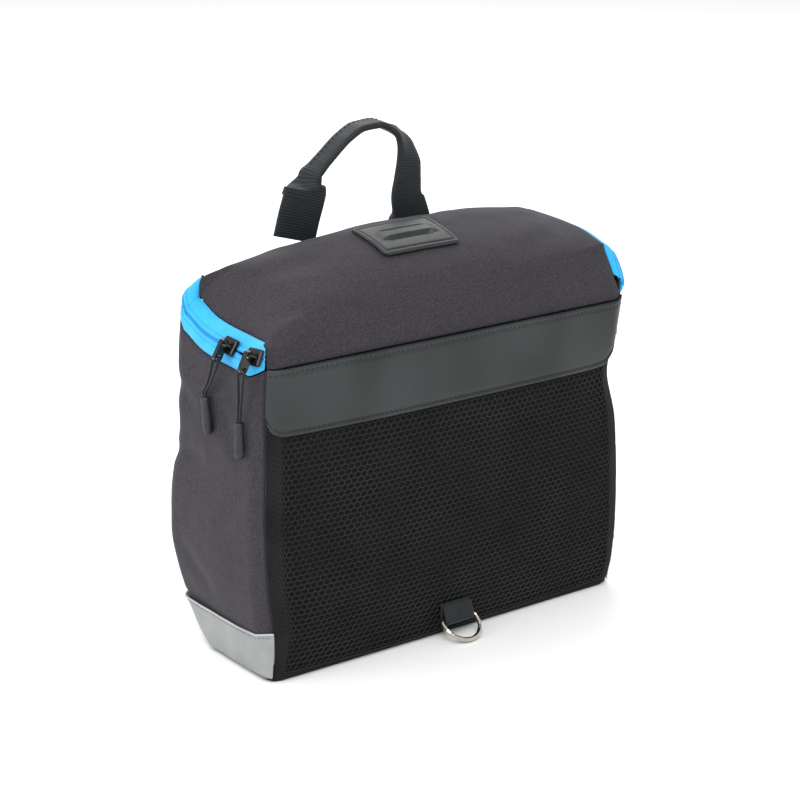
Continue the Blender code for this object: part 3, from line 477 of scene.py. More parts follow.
class Workshop:
    """Makes meshes, dresses them and hangs them on the frame."""

    def link(self, name: str, verts: Sequence, faces: Sequence,
             uvs: Optional[Sequence] = None) -> bpy.types.Object:
        """Makes an object from places and faces.

        Args:
            name: name of the object.
            verts: places.
            faces: faces as vertex numbers.
            uvs: one flat coordinate in metres for each vertex.

        Returns:
            The new object.
        """
        mesh = bpy.data.meshes.new(name)
        mesh.from_pydata([tuple(v) for v in verts], [], [tuple(f) for f in faces])
        if uvs is not None:
            layer = mesh.uv_layers.new(name="cloth_run")
            index = np.zeros(len(mesh.loops), dtype=np.int32)
            mesh.loops.foreach_get("vertex_index", index)
            layer.data.foreach_set("uv", np.asarray(uvs, dtype=np.float32)[index].ravel())
        mesh.shade_smooth()
        obj = bpy.data.objects.new(name, mesh)
        bpy.context.scene.collection.objects.link(obj)
        return obj

    def sheet(self, name: str, grid: np.ndarray, wall: float) -> bpy.types.Object:
        """A cloth wall whose outer face is a grid of places.

        Args:
            name: name of the object.
            grid: rows of places, facing out.
            wall: thickness, grown to the inside.

        Returns:
            The new object.
        """
        rows, columns = grid.shape[:2]
        faces = []
        for i in range(rows - 1):
            for j in range(columns - 1):
                a = i * columns + j
                faces.append((a, a + 1, a + columns + 1, a + columns))
        u = np.cumsum(np.linalg.norm(np.diff(grid, axis=1, prepend=grid[:, :1]), axis=-1), axis=1)
        u -= u[:, columns // 2:columns // 2 + 1]
        v = np.cumsum(np.linalg.norm(np.diff(grid, axis=0, prepend=grid[:1]), axis=-1), axis=0)
        uvs = np.stack([u, v], axis=-1).reshape(-1, 2)
        obj = self.link(name, grid.reshape(-1, 3), faces, uvs)
        thick = obj.modifiers.new("wall", "SOLIDIFY")
        thick.thickness = wall
        thick.offset = -1
        thick.use_even_offset = False
        return obj

    def tube(self, name: str, path: Sequence[Vector], radius: float, sides: int = 8,
             up: Optional[Sequence[Vector]] = None) -> bpy.types.Object:
        """A cord along a path.

        Args:
            name: name of the object.
            path: places along it.
            radius: half its width.
            sides: corners of its section.
            up: direction of its height at each place.

        Returns:
            The new object.
        """
        verts, faces, uvs = [], [], []
        count, run = len(path), 0.0
        side = Vector((0, 0, 1))
        for i, place in enumerate(path):
            ahead = (path[min(i + 1, count - 1)] - path[max(i - 1, 0)]).normalized()
            if up is not None:
                height = (up[i] - ahead * up[i].dot(ahead)).normalized()
            else:
                height = side - ahead * side.dot(ahead)
                height = height.normalized() if height.length > 0.05 else ahead.orthogonal().normalized()
                side = height
            across = ahead.cross(height)
            for k in range(sides):
                turn = 2 * math.pi * k / sides
                beside = across * math.cos(turn) * radius
                verts.append(place + beside + height * math.sin(turn) * radius)
                uvs.append((k / sides * radius * 6.28, run))
            if i < count - 1:
                run += (path[i + 1] - place).length
        for i in range(count - 1):
            for k in range(sides):
                a, b = i * sides, (i + 1) * sides
                faces.append((a + k, a + (k + 1) % sides, b + (k + 1) % sides, b + k))
        faces.append(tuple(range(sides))[::-1])
        faces.append(tuple((count - 1) * sides + k for k in range(sides)))
        return self.link(name, verts, faces, uvs)

    def stitches(self, name: str, path: Sequence[Vector], lift: Sequence[Vector], length: float = 0.0024,
                 space: float = 0.0014, radius: float = 0.00032) -> bpy.types.Object:
        """A row of sewn stitches along a path.

        Args:
            name: name of the object.
            path: places along the seam.
            lift: outward direction at each place.
            length: length of a stitch.
            space: room between two stitches.
            radius: half the thread's width.

        Returns:
            The new object.
        """
        lengths = [0.0]
        for a, b in zip(path, path[1:]):
            lengths.append(lengths[-1] + (b - a).length)
        verts, faces = [], []

        def spot(at: float) -> Tuple[Vector, Vector]:
            """Place and outward direction at a length along the seam."""
            i = min(max(bisect_right(lengths, at) - 1, 0), len(path) - 2)
            t = (at - lengths[i]) / max(lengths[i + 1] - lengths[i], 1e-9)
            return mix(path[i], path[i + 1], t), mix(lift[i], lift[i + 1], t).normalized()

        at = space
        while at + length < lengths[-1]:
            ring: List[int] = []
            for share, swell, rise in ((0.0, 0.45, -0.8), (0.2, 1.0, 0.3), (0.5, 1.1, 0.6), (0.8, 1.0, 0.3),
                                       (1.0, 0.45, -0.8)):
                place, out = spot(at + length * share)
                after, _ = spot(at + length * share + 0.0004)
                ahead = (after - place).normalized()
                across = ahead.cross(out).normalized()
                start = len(verts)
                for k in range(5):
                    turn = 2 * math.pi * k / 5
                    verts.append(place + out * radius * rise
                                 + (across * math.cos(turn) + out * math.sin(turn)) * radius * swell)
                if ring:
                    for k in range(5):
                        faces.append((ring[0] + k, ring[0] + (k + 1) % 5, start + (k + 1) % 5, start + k))
                ring = [start]
            at += length + space
        return self.link(name, verts, faces)

    def dress(self, obj: bpy.types.Object, material: bpy.types.Material, body: Body = Body.BAG,
              nodes: Sequence[str] = (), slot: Optional[Slot] = None) -> bpy.types.Object:
        """Gives a piece its material, its body and the CAD nodes that it stands for.

        Args:
            obj: the piece.
            material: its finish.
            body: the body it rides on.
            nodes: CAD nodes it replaces.
            slot: the record's material slot; not used.

        Returns:
            The piece.
        """
        obj.data.materials.clear()
        obj.data.materials.append(material)
        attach(obj, body.value)
        if nodes:
            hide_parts(*nodes)
        LOG.info("piece %s rides on %s", obj.name, body.value)
        return obj


@dataclass
class Cloth:
    """A fine grid of places over a panel, rows going up and columns to the right seen from outside."""

    grid: np.ndarray
    outward: Colour

    def __post_init__(self) -> None:
        """Turns the grid so that its faces look outwards."""
        normals = np.cross(np.gradient(self.grid, axis=1), np.gradient(self.grid, axis=0))
        middle = normals[normals.shape[0] // 2, normals.shape[1] // 2]
        if middle @ np.array(self.outward) < 0:
            self.grid = self.grid[:, ::-1].copy()

    @classmethod
    def over(cls, surface: Callable[[float, float], Vector], columns: Sequence[float], rows: Sequence[float],
             outward: Colour, times: int = 2) -> "Cloth":
        """Lays a grid over a surface.

        Args:
            surface: gives a place for a column and a row value.
            columns: column values.
            rows: row values, from the bottom up.
            outward: rough outward direction.
            times: how much finer the grid gets in each direction.

        Returns:
            The cloth.
        """
        grid = np.array([[tuple(surface(c, r)) for c in columns] for r in rows])
        grid = finer(grid, times)
        grid = finer(grid.transpose(1, 0, 2), times).transpose(1, 0, 2)
        return cls(grid, outward)

    def normals(self) -> np.ndarray:
        """Outward unit normals."""
        normals = np.cross(np.gradient(self.grid, axis=1), np.gradient(self.grid, axis=0))
        return normals / np.maximum(np.linalg.norm(normals, axis=-1, keepdims=True), 1e-12)

    def reach(self, edge: Edge) -> np.ndarray:
        """Distance of every place from one edge, along the cloth."""
        axis = 1 if edge in (Edge.LEFT, Edge.RIGHT) else 0
        steps = np.linalg.norm(np.diff(self.grid, axis=axis), axis=-1)
        pad = np.zeros_like(steps[:, :1] if axis else steps[:1])
        lengths = np.cumsum(np.concatenate([pad, steps], axis=axis), axis=axis)
        if edge in (Edge.RIGHT, Edge.TOP):
            lengths = (lengths[:, -1:] if axis else lengths[-1:]) - lengths
        return lengths

    def press(self, heights: np.ndarray) -> "Cloth":
        """Moves every place out by its height."""
        self.grid = self.grid + self.normals() * heights[..., None]
        return self

    def seam(self, edges: Sequence[Edge], depth: float = 0.0007, width: float = 0.0016) -> "Cloth":
        """Rolls the cloth in where it is sewn along some edges."""
        total = sum(np.exp(-(self.reach(edge) / width) ** 2) for edge in edges)
        return self.press(-depth * total)

    def row(self, edge: Edge, distance: float) -> Tuple[List[Vector], List[Vector]]:
        """A line that keeps a distance from one edge.

        Args:
            edge: the edge.
            distance: how far from it.

        Returns:
            Its places and its outward directions.
        """
        lengths = self.reach(edge)
        grid, normals = self.grid, self.normals()
        if edge in (Edge.LEFT, Edge.RIGHT):
            lengths, grid, normals = lengths.T, grid.transpose(1, 0, 2), normals.transpose(1, 0, 2)
        if edge in (Edge.TOP, Edge.RIGHT):
            lengths, grid, normals = lengths[::-1], grid[::-1], normals[::-1]
        places, facing = [], []
        for j in range(grid.shape[1]):
            i = int(np.searchsorted(lengths[:, j], distance)) - 1
            i = min(max(i, 0), grid.shape[0] - 2)
            t = (distance - lengths[i, j]) / max(lengths[i + 1, j] - lengths[i, j], 1e-9)
            places.append(Vector(mix(grid[i, j], grid[i + 1, j], t)))
            facing.append(Vector(normals[i, j]))
        return places, facing


class Wire:
    """A shader socket that takes part in Python sums."""

    def __init__(self, board: "Board", socket: bpy.types.NodeSocket) -> None:
        """Wraps one output socket of a board."""
        self.board, self.socket = board, socket

    def sum_with(self, operation: str, first, second) -> "Wire":
        """Adds the Math node of one sum."""
        return self.board.node("ShaderNodeMath", {"operation": operation}, {0: first, 1: second})

    def __add__(self, other) -> "Wire":
        """Self plus other."""
        return self.sum_with("ADD", self, other)

    __radd__ = __add__

    def __sub__(self, other) -> "Wire":
        """Self less other."""
        return self.sum_with("SUBTRACT", self, other)

    def __rsub__(self, other) -> "Wire":
        """Other less self."""
        return self.sum_with("SUBTRACT", other, self)

    def __mul__(self, other) -> "Wire":
        """Self times other."""
        return self.sum_with("MULTIPLY", self, other)

    __rmul__ = __mul__

    def __truediv__(self, other) -> "Wire":
        """Self over other."""
        return self.sum_with("DIVIDE", self, other)

    def __pow__(self, other) -> "Wire":
        """Self to the power of other."""
        return self.sum_with("POWER", self, other)


class Board:
    """The node tree of one material."""

    def __init__(self, name: str) -> None:
        """Starts a material with an empty tree."""
        self.material = bpy.data.materials.new(name)
        self.material.use_nodes = True
        self.tree = self.material.node_tree
        self.tree.nodes.clear()

    def node(self, kind: str, settings: Optional[dict] = None, sockets: Optional[dict] = None,
             out=0) -> Wire:
        """Adds a node.

        Args:
            kind: Blender's name for its type.
            settings: its settings, and the stops of a ramp.
            sockets: values or wires of its inputs.
            out: which output is used.

        Returns:
            A wire from that output.
        """
        made = self.tree.nodes.new(kind)
        for key, value in (settings or {}).items():
            if key == "stops":
                ramp = made.color_ramp
                while len(ramp.elements) < len(value):
                    ramp.elements.new(0.5)
                for element, (place, colour) in zip(ramp.elements, value):
                    element.position = place
                    element.color = (*colour, 1)
            else:
                setattr(made, key, value)
        for key, value in (sockets or {}).items():
            socket = made.inputs[key]
            if isinstance(value, Wire):
                self.tree.links.new(value.socket, socket)
            elif isinstance(value, tuple) and len(value) == 3 and socket.type == "RGBA":
                socket.default_value = (*value, 1)
            else:
                socket.default_value = value
        return Wire(self, made.outputs[out]) if made.outputs else None

    def places(self) -> Wire:
        """Places on the piece in metres."""
        return self.node("ShaderNodeTexCoord", out="Object")

    def run(self) -> Tuple[Wire, Wire]:
        """Lengths across and along the cloth, in millimetres."""
        uv = self.node("ShaderNodeUVMap", {"uv_map": "cloth_run"})
        u = self.node("ShaderNodeSeparateXYZ", sockets={0: uv})
        v = self.node("ShaderNodeSeparateXYZ", sockets={0: uv}, out=1)
        return u * 1000.0, v * 1000.0

    def sine(self, value: Wire) -> Wire:
        """Sine of a value."""
        return self.node("ShaderNodeMath", {"operation": "SINE"}, {0: value})

    def wave(self, value: Wire, pitch: float) -> Wire:
        """A wave from 0 to 1 that repeats at a pitch."""
        return self.sine(value * (2 * math.pi / pitch)) * 0.5 + 0.5

    def noise(self, where: Wire, pitch: float, detail: float = 3.0, stretch: Colour = (1, 1, 1)) -> Wire:
        """Noise from 0 to 1 with spots of about a pitch in metres."""
        scaled = self.node("ShaderNodeVectorMath", {"operation": "MULTIPLY"}, {0: where, 1: stretch})
        sockets = {"Vector": scaled, "Scale": 1 / pitch, "Detail": detail}
        return self.node("ShaderNodeTexNoise", sockets=sockets)

    def step(self, value: Wire, low: float, high: float) -> Wire:
        """0 below a value, 1 above another, smooth between."""
        return self.node("ShaderNodeMapRange", {"interpolation_type": "SMOOTHSTEP"},
                         {"Value": value, "From Min": low, "From Max": high})

    def blend(self, share, first, second) -> Wire:
        """Colour between two colours."""
        return self.node("ShaderNodeMix", {"data_type": "RGBA"}, {0: share, 6: first, 7: second}, out=2)

    def surface(self, colour: Wire, rough: Wire, height: Wire, bump: float, distance: float = 0.0004,
                constants: Optional[dict] = None) -> bpy.types.Material:
        """Closes the tree with a Principled shader.

        Args:
            colour: base colour.
            rough: roughness.
            height: height of its relief, from 0 to 1.
            bump: strength of the relief.
            distance: depth of the relief.
            constants: values that are the same all over.

        Returns:
            The material.
        """
        relief = {"Strength": bump, "Distance": distance, "Height": height}
        normal = self.node("ShaderNodeBump", sockets=relief)
        sockets = {"Base Color": colour, "Roughness": rough, "Normal": normal}
        sockets.update(constants or {})
        shader = self.node("ShaderNodeBsdfPrincipled", sockets=sockets)
        self.node("ShaderNodeOutputMaterial", sockets={"Surface": shader})
        return self.material


@dataclass(frozen=True)
class HeatherCloth:
    """Charcoal heather polyester: crossed dark and pale threads over a soft, uneven dye."""

    name: str = "charcoal_heather"
    pale: Colour = linear("403d43")
    dark: Colour = linear("29272b")
    thread: float = 1.15

    def material(self) -> bpy.types.Material:
        """Builds the material."""
        b = Board(self.name)
        where = b.places()
        u, v = b.run()
        fleck = b.noise(where, 0.0007, 2.0, (1.0, 1.0, 0.4))
        cross = b.noise(where, 0.0007, 2.0, (0.4, 0.4, 1.0))
        cloud = b.noise(where, 0.045, 3.0)
        weave = b.wave(u, self.thread) * 0.5 + b.wave(v, self.thread) * 0.5
        tone = b.step(fleck * 0.55 + cross * 0.45, 0.22, 0.80) * 0.62 + weave * 0.16 + cloud * 0.22
        worn = b.blend(b.step(tone, 0.1, 0.95), self.dark, self.pale)
        rough = cloud * 0.12 + 0.78
        relief = weave * 0.6 + fleck * 0.4
        return b.surface(worn, rough, relief, 0.42, 0.0004,
                         {"Sheen Weight": 0.07, "Sheen Roughness": 0.5, "Specular IOR Level": 0.22})


@dataclass(frozen=True)
class HemCloth:
    """Plain black weave of the hem and the base."""

    name: str = "black_hem_weave"
    pale: Colour = linear("222224")
    dark: Colour = linear("141416")

    def material(self) -> bpy.types.Material:
        """Builds the material."""
        b = Board(self.name)
        where = b.places()
        fleck = b.noise(where, 0.0009, 2.0)
        cloud = b.noise(where, 0.03, 3.0)
        colour = b.blend(b.step(fleck * 0.6 + cloud * 0.4, 0.3, 0.7), self.dark, self.pale)
        return b.surface(colour, cloud * 0.1 + 0.8, fleck, 0.35, 0.0003, {"Specular IOR Level": 0.2})


@dataclass(frozen=True)
class NetYarn:
    """Knitted black yarn of the net."""

    name: str = "black_net_yarn"
    pale: Colour = linear("2b2b2d")
    dark: Colour = linear("121213")

    def material(self) -> bpy.types.Material:
        """Builds the material."""
        b = Board(self.name)
        where = b.places()
        twist = b.noise(where, 0.0006, 2.0)
        cloud = b.noise(where, 0.04, 2.0)
        colour = b.blend(b.step(twist * 0.5 + cloud * 0.5, 0.3, 0.7), self.dark, self.pale)
        return b.surface(colour, twist * 0.2 + 0.5, twist, 0.3, 0.0002, {"Specular IOR Level": 0.3})


@dataclass(frozen=True)
class SmoothVinyl:
    """Smooth coated band with faint grain, rub marks and soft waves in its gloss."""

    name: str = "smooth_dark_vinyl"
    pale: Colour = linear("2d3131")
    dark: Colour = linear("1f2323")

    def material(self) -> bpy.types.Material:
        """Builds the material."""
        b = Board(self.name)
        where = b.places()
        sweep = b.noise(where, 0.055, 1.5, (1.0, 1.0, 0.7))
        grain = b.node("ShaderNodeTexVoronoi", sockets={"Vector": where, "Scale": 1900.0})
        rubbed = b.step(b.noise(where, 0.006, 4.0, (0.25, 0.25, 1.2)), 0.58, 0.72)
        colour = b.blend(b.step(sweep, 0.35, 0.68), self.dark, self.pale)
        rough = 0.34 + sweep * 0.12 + rubbed * 0.1
        relief = grain * 0.5 + rubbed * 0.2
        return b.surface(colour, rough, relief, 0.12, 0.0002, {"Specular IOR Level": 0.42})


@dataclass(frozen=True)
class ZipTape:
    """Sky blue woven tape with fine ribs and a touch of wear."""

    name: str = "sky_blue_tape"
    bright: Colour = linear("36b0e8")
    deep: Colour = linear("1f99d6")

    def material(self) -> bpy.types.Material:
        """Builds the material."""
        b = Board(self.name)
        where = b.places()
        u, v = b.run()
        ribs = b.wave(v, 0.9) * 0.6 + b.wave(u, 1.1) * 0.4
        cloud = b.noise(where, 0.012, 3.0)
        colour = b.blend(b.step(ribs * 0.45 + cloud * 0.55, 0.25, 0.75), self.deep, self.bright)
        return b.surface(colour, cloud * 0.15 + 0.6, ribs, 0.35, 0.0003,
                         {"Sheen Weight": 0.15, "Specular IOR Level": 0.35})


@dataclass(frozen=True)
class ReflectiveTape:
    """Pale grey reflective cloth with a fine lattice and handling marks."""

    name: str = "reflective_tape_grey"
    pale: Colour = linear("929594")
    dark: Colour = linear("7c7f7f")

    def material(self) -> bpy.types.Material:
        """Builds the material."""
        b = Board(self.name)
        where = b.places()
        u, v = b.run()
        lattice = b.wave(u + v, 1.5) * b.wave(u - v, 1.5)
        cloud = b.noise(where, 0.016, 4.0)
        scuff = b.step(b.noise(where, 0.004, 4.0), 0.6, 0.75)
        colour = b.blend(b.step(cloud * 0.7 + lattice * 0.3 - scuff * 0.2, 0.2, 0.7), self.dark, self.pale)
        return b.surface(colour, cloud * 0.15 + 0.38, lattice, 0.15, 0.0002, {"Specular IOR Level": 0.6})


@dataclass(frozen=True)
class RibbedWebbing:
    """Black nylon webbing with cross ribs and an uneven tone."""

    name: str = "black_ribbed_webbing"
    pale: Colour = linear("262c2f")
    dark: Colour = linear("121619")
    rib: float = 1.5

    def material(self) -> bpy.types.Material:
        """Builds the material."""
        b = Board(self.name)
        where = b.places()
        u, v = b.run()
        ribs = b.wave(v, self.rib)
        warp = b.wave(u, 0.8)
        cloud = b.noise(where, 0.01, 3.0)
        colour = b.blend(b.step(ribs * 0.45 + warp * 0.15 + cloud * 0.4, 0.25, 0.8), self.dark, self.pale)
        return b.surface(colour, cloud * 0.15 + 0.5, ribs * 0.7 + warp * 0.3, 0.35, 0.0003,
                         {"Sheen Weight": 0.05, "Specular IOR Level": 0.28})


@dataclass(frozen=True)
class Moulded:
    """Moulded rubber or plastic: a fine grain and rubbed spots."""

    name: str
    pale: Colour
    dark: Colour
    rough: float
    grain: float
    relief: float
    metal: float = 0.0

    def material(self) -> bpy.types.Material:
        """Builds the material."""
        b = Board(self.name)
        where = b.places()
        grain = b.noise(where, self.grain, 3.0)
        cloud = b.noise(where, self.grain * 12, 3.0)
        rubbed = b.step(cloud, 0.5, 0.75)
        colour = b.blend(b.step(grain * 0.35 + cloud * 0.65, 0.3, 0.7), self.dark, self.pale)
        return b.surface(colour, self.rough + cloud * 0.12 - rubbed * 0.06, grain, self.relief, 0.0002,
                         {"Metallic": self.metal, "Specular IOR Level": 0.5})


def moulded(name: str, pale: str, dark: str, *touch: float) -> bpy.types.Material:
    """Material of one moulded finish, its colours given by their codes."""
    return Moulded(name, linear(pale), linear(dark), *touch).material()


@dataclass
class Finishes:
    """Every finish of the bag, made once."""

    def __post_init__(self) -> None:
        """Builds the materials."""
        self.cloth = HeatherCloth().material()
        self.hem = HemCloth().material()
        self.net = NetYarn().material()
        self.vinyl = SmoothVinyl().material()
        self.blue = ZipTape().material()
        self.coil = ZipTape("blue_zip_coil", linear("2299dc"), linear("0c6ea8")).material()
        self.grey = ReflectiveTape().material()
        # Paler copy of the reflective tape for the strips' rolled top folds: a painted highlight along the
        # edge, not a different tape.
        self.fold_painted_highlight = ReflectiveTape("reflective_fold_painted_highlight", linear("b9bbb9"), linear("9c9e9c")).material()
        self.webbing = RibbedWebbing().material()
        self.cord = RibbedWebbing("black_cord", linear("202225"), linear("101114"), 0.9).material()
        self.rubber = moulded("dark_patch_rubber", "272b2b", "1b1e1e", 0.42, 0.0007, 0.3)
        self.grip = moulded("dark_grip_rubber", "28282b", "18191b", 0.45, 0.0006, 0.3)
        self.gloss = moulded("gloss_black_metal", "1c1c1e", "0e0e10", 0.16, 0.0012, 0.05)
        self.steel = moulded("nickel_plate", "d8d2c6", "b5aea2", 0.12, 0.002, 0.04, 1.0)
        self.plastic = moulded("plate_plastic_grain", "2a2b2c", "191a1b", 0.45, 0.0005, 0.35)
        self.thread = moulded("charcoal_thread", "3a373c", "242226", 0.7, 0.0005, 0.2)
        self.black_thread = moulded("black_thread", "202224", "101112", 0.6, 0.0005, 0.2)
        self.grey_thread = moulded("grey_thread", "8c8f8f", "6c6f6f", 0.7, 0.0005, 0.2)


@dataclass
class Panels:
    """The charcoal cloth: front, sides, back, base and lid."""

    form: BagForm
    shop: Workshop
    looks: Finishes
    wall: float = 0.0013
    inset: float = 0.0004
    ripple: float = 0.00055
    under_strip: float = 0.0007

    def waves(self, cloth: Cloth, seed: int, scale: float = 1.0) -> Cloth:
        """Adds soft unevenness that fades towards the seams."""
        fade = border_fade(cloth.grid.shape[:2], 10)
        broad = Ripple(0.075, self.ripple * scale, seed).at(cloth.grid)
        small = Ripple(0.016, self.ripple * 0.16 * scale, seed + 50).at(cloth.grid)
        return cloth.press((broad + small) * fade)

    def front(self) -> None:
        """Cloth behind the net and the band."""
        form = self.form
        seam = form.side_seam - 0.012

        def surface(run: float, share: float) -> Vector:
            """Place on the front."""
            side = -1 if run < 0 else 1
            level = mix(form.front_hem(side, abs(run)), 0.997, share)
            return form.body(side, abs(run), level)

        cloth = Cloth.over(surface, spread(-seam, seam, 48), spread(0, 1, 30), (0, -1, 0))
        cloth.press(np.full(cloth.grid.shape[:2], -self.inset))
        self.shop.dress(self.shop.sheet("front_cloth", cloth.grid, self.wall), self.looks.hem,
                        nodes=["front_panel"], slot=Slot.CLOTH)

    def side(self, word: str, side: int) -> None:
        """One side panel, wrapped round both corners."""
        form = self.form

        def surface(run: float, share: float) -> Vector:
            """Place on the side."""
            low = form.foot(side, run)
            return form.body(side, run, mix(low, 0.996, share))

        cloth = Cloth.over(surface, spread(form.side_seam + 0.004, form.back_seam, 56), spread(0, 1, 44),
                           (side, 0, 0))
        self.waves(cloth, 7 + side)
        creases = [Crease((side * 0.131, 0.066, 0.112), (side * 0.130, 0.028, 0.118), 0.0016, 0.0045),
                   Crease((side * 0.129, 0.010, 0.150), (side * 0.130, -0.012, 0.128), 0.0012, 0.0060),
                   Crease((side * 0.129, -0.020, 0.110), (side * 0.130, 0.004, 0.086), 0.0009, 0.0060),
                   Crease((side * 0.129, 0.058, 0.160), (side * 0.130, 0.034, 0.146), 0.0011, 0.0055),
                   Crease((side * 0.128, 0.020, 0.040), (side * 0.130, 0.050, 0.060), 0.0009, 0.0060)]
        fade = border_fade(cloth.grid.shape[:2], 5)
        cloth.press(sum(crease.at(cloth.grid) for crease in creases) * fade)
        strip = form.strip_height * (1 + form.strip_lift)
        under = np.clip((strip - cloth.grid[..., 2]) / 0.002, 0, 1)
        cloth.press(-self.under_strip * under)
        cloth.seam((Edge.LEFT, Edge.RIGHT, Edge.TOP))
        self.shop.dress(self.shop.sheet(word + "_side_cloth", cloth.grid, self.wall), self.looks.cloth,
                        nodes=[word + "_side_panel"], slot=Slot.CLOTH)

    def back(self) -> None:
        """The plain back."""
        form = self.form

        def surface(turn: float, share: float) -> Vector:
            """Place on the back, its turn going from one seam through the middle to the other."""
            side = 1 if turn < 0 else -1
            run = 5.0 - abs(turn)
            return form.body(side, run, mix(form.side_hem(side, run), 0.996, share))

        half = 5.0 - form.back_seam - 0.004
        cloth = Cloth.over(surface, spread(-half, half, 56), spread(0, 1, 40), (0, 1, 0))
        self.waves(cloth, 21, 0.6).seam((Edge.LEFT, Edge.RIGHT, Edge.TOP))
        self.shop.dress(self.shop.sheet("back_cloth", cloth.grid, self.wall), self.looks.cloth,
                        nodes=["back_panel"], slot=Slot.CLOTH)
        for number, edge in enumerate((Edge.LEFT, Edge.RIGHT, Edge.TOP)):
            row = self.shop.stitches("back_stitch_%d" % (number + 1), *cloth.row(edge, 0.004))
            self.shop.dress(row, self.looks.thread, slot=Slot.CLOTH)

    def base(self) -> None:
        """The bottom with its edge turned up as the dark hem."""
        form = self.form
        turns = spread(0.0, 1.0, 180)

        def around(turn: float) -> Tuple[int, float]:
            """Side and run of a turn round the foot, from the middle of the front over the right."""
            return (1, turn * 10) if turn <= 0.5 else (-1, (1 - turn) * 10)

        def hem(side: int, run: float) -> float:
            """Level of the top of the edge."""
            return mix(form.front_hem(side, run), form.side_hem(side, run), ease((run - 1.39) / 0.03))

        columns = []
        for turn in turns:
            side, run = around(turn)
            top = hem(side, run)
            column = []
            for share in spread(1.0, 0.0, 6):
                place = form.body(side, run, top * share)
                normal = form.body_normal(side, run, max(top * share, 0.01))
                level_out = Vector((normal.x, normal.y, 0)).normalized()
                place = place - level_out * 0.0018 * (1 - share) ** 3
                place.z = max(place.z - (0.0003 if share == 1.0 else 0.0), 0.0)
                column.append(place)
            foot = column[-1]
            middle = Vector((0, 0.003, 0.0006))
            for share in (0.97, 0.9, 0.75, 0.5, 0.25, 0.02):
                column.append(mix(middle, foot, share))
            columns.append(column)
        grid = np.array([[tuple(p) for p in column] for column in columns]).transpose(1, 0, 2)[::-1]
        obj = self.shop.sheet("base_cloth", grid, 0.0016)
        self.shop.dress(obj, self.looks.hem, nodes=["base_panel"], slot=Slot.CLOTH)

    def lid(self) -> None:
        """The crowned top."""
        form = self.form
        cloth = Cloth.over(form.lid, spread(-0.998, 0.998, 64), spread(0.002, 0.999, 48), (0, -0.4, 1))
        self.waves(cloth, 33, 1.5)
        creases = [Crease((-0.112, -0.012, 0.210), (-0.070, -0.026, 0.200), 0.0010, 0.0060),
                   Crease((-0.100, 0.022, 0.222), (-0.060, 0.006, 0.222), 0.0009, 0.0080),
                   Crease((0.060, -0.020, 0.214), (0.112, 0.004, 0.216), 0.0010, 0.0075),
                   Crease((-0.030, -0.026, 0.204), (0.030, -0.024, 0.206), 0.0007, 0.0080)]
        fade = border_fade(cloth.grid.shape[:2], 6)
        cloth.press(sum(crease.at(cloth.grid) for crease in creases) * fade)
        cloth.seam((Edge.LEFT, Edge.RIGHT, Edge.TOP, Edge.BOTTOM), 0.0003, 0.0018)
        self.shop.dress(self.shop.sheet("lid_cloth", cloth.grid, self.wall), self.looks.cloth,
                        nodes=["lid"], slot=Slot.CLOTH)

    def build(self) -> None:
        """Builds all panels."""
        self.front()
        self.side("left", -1)
        self.side("right", 1)
        self.back()
        self.base()
        self.lid()


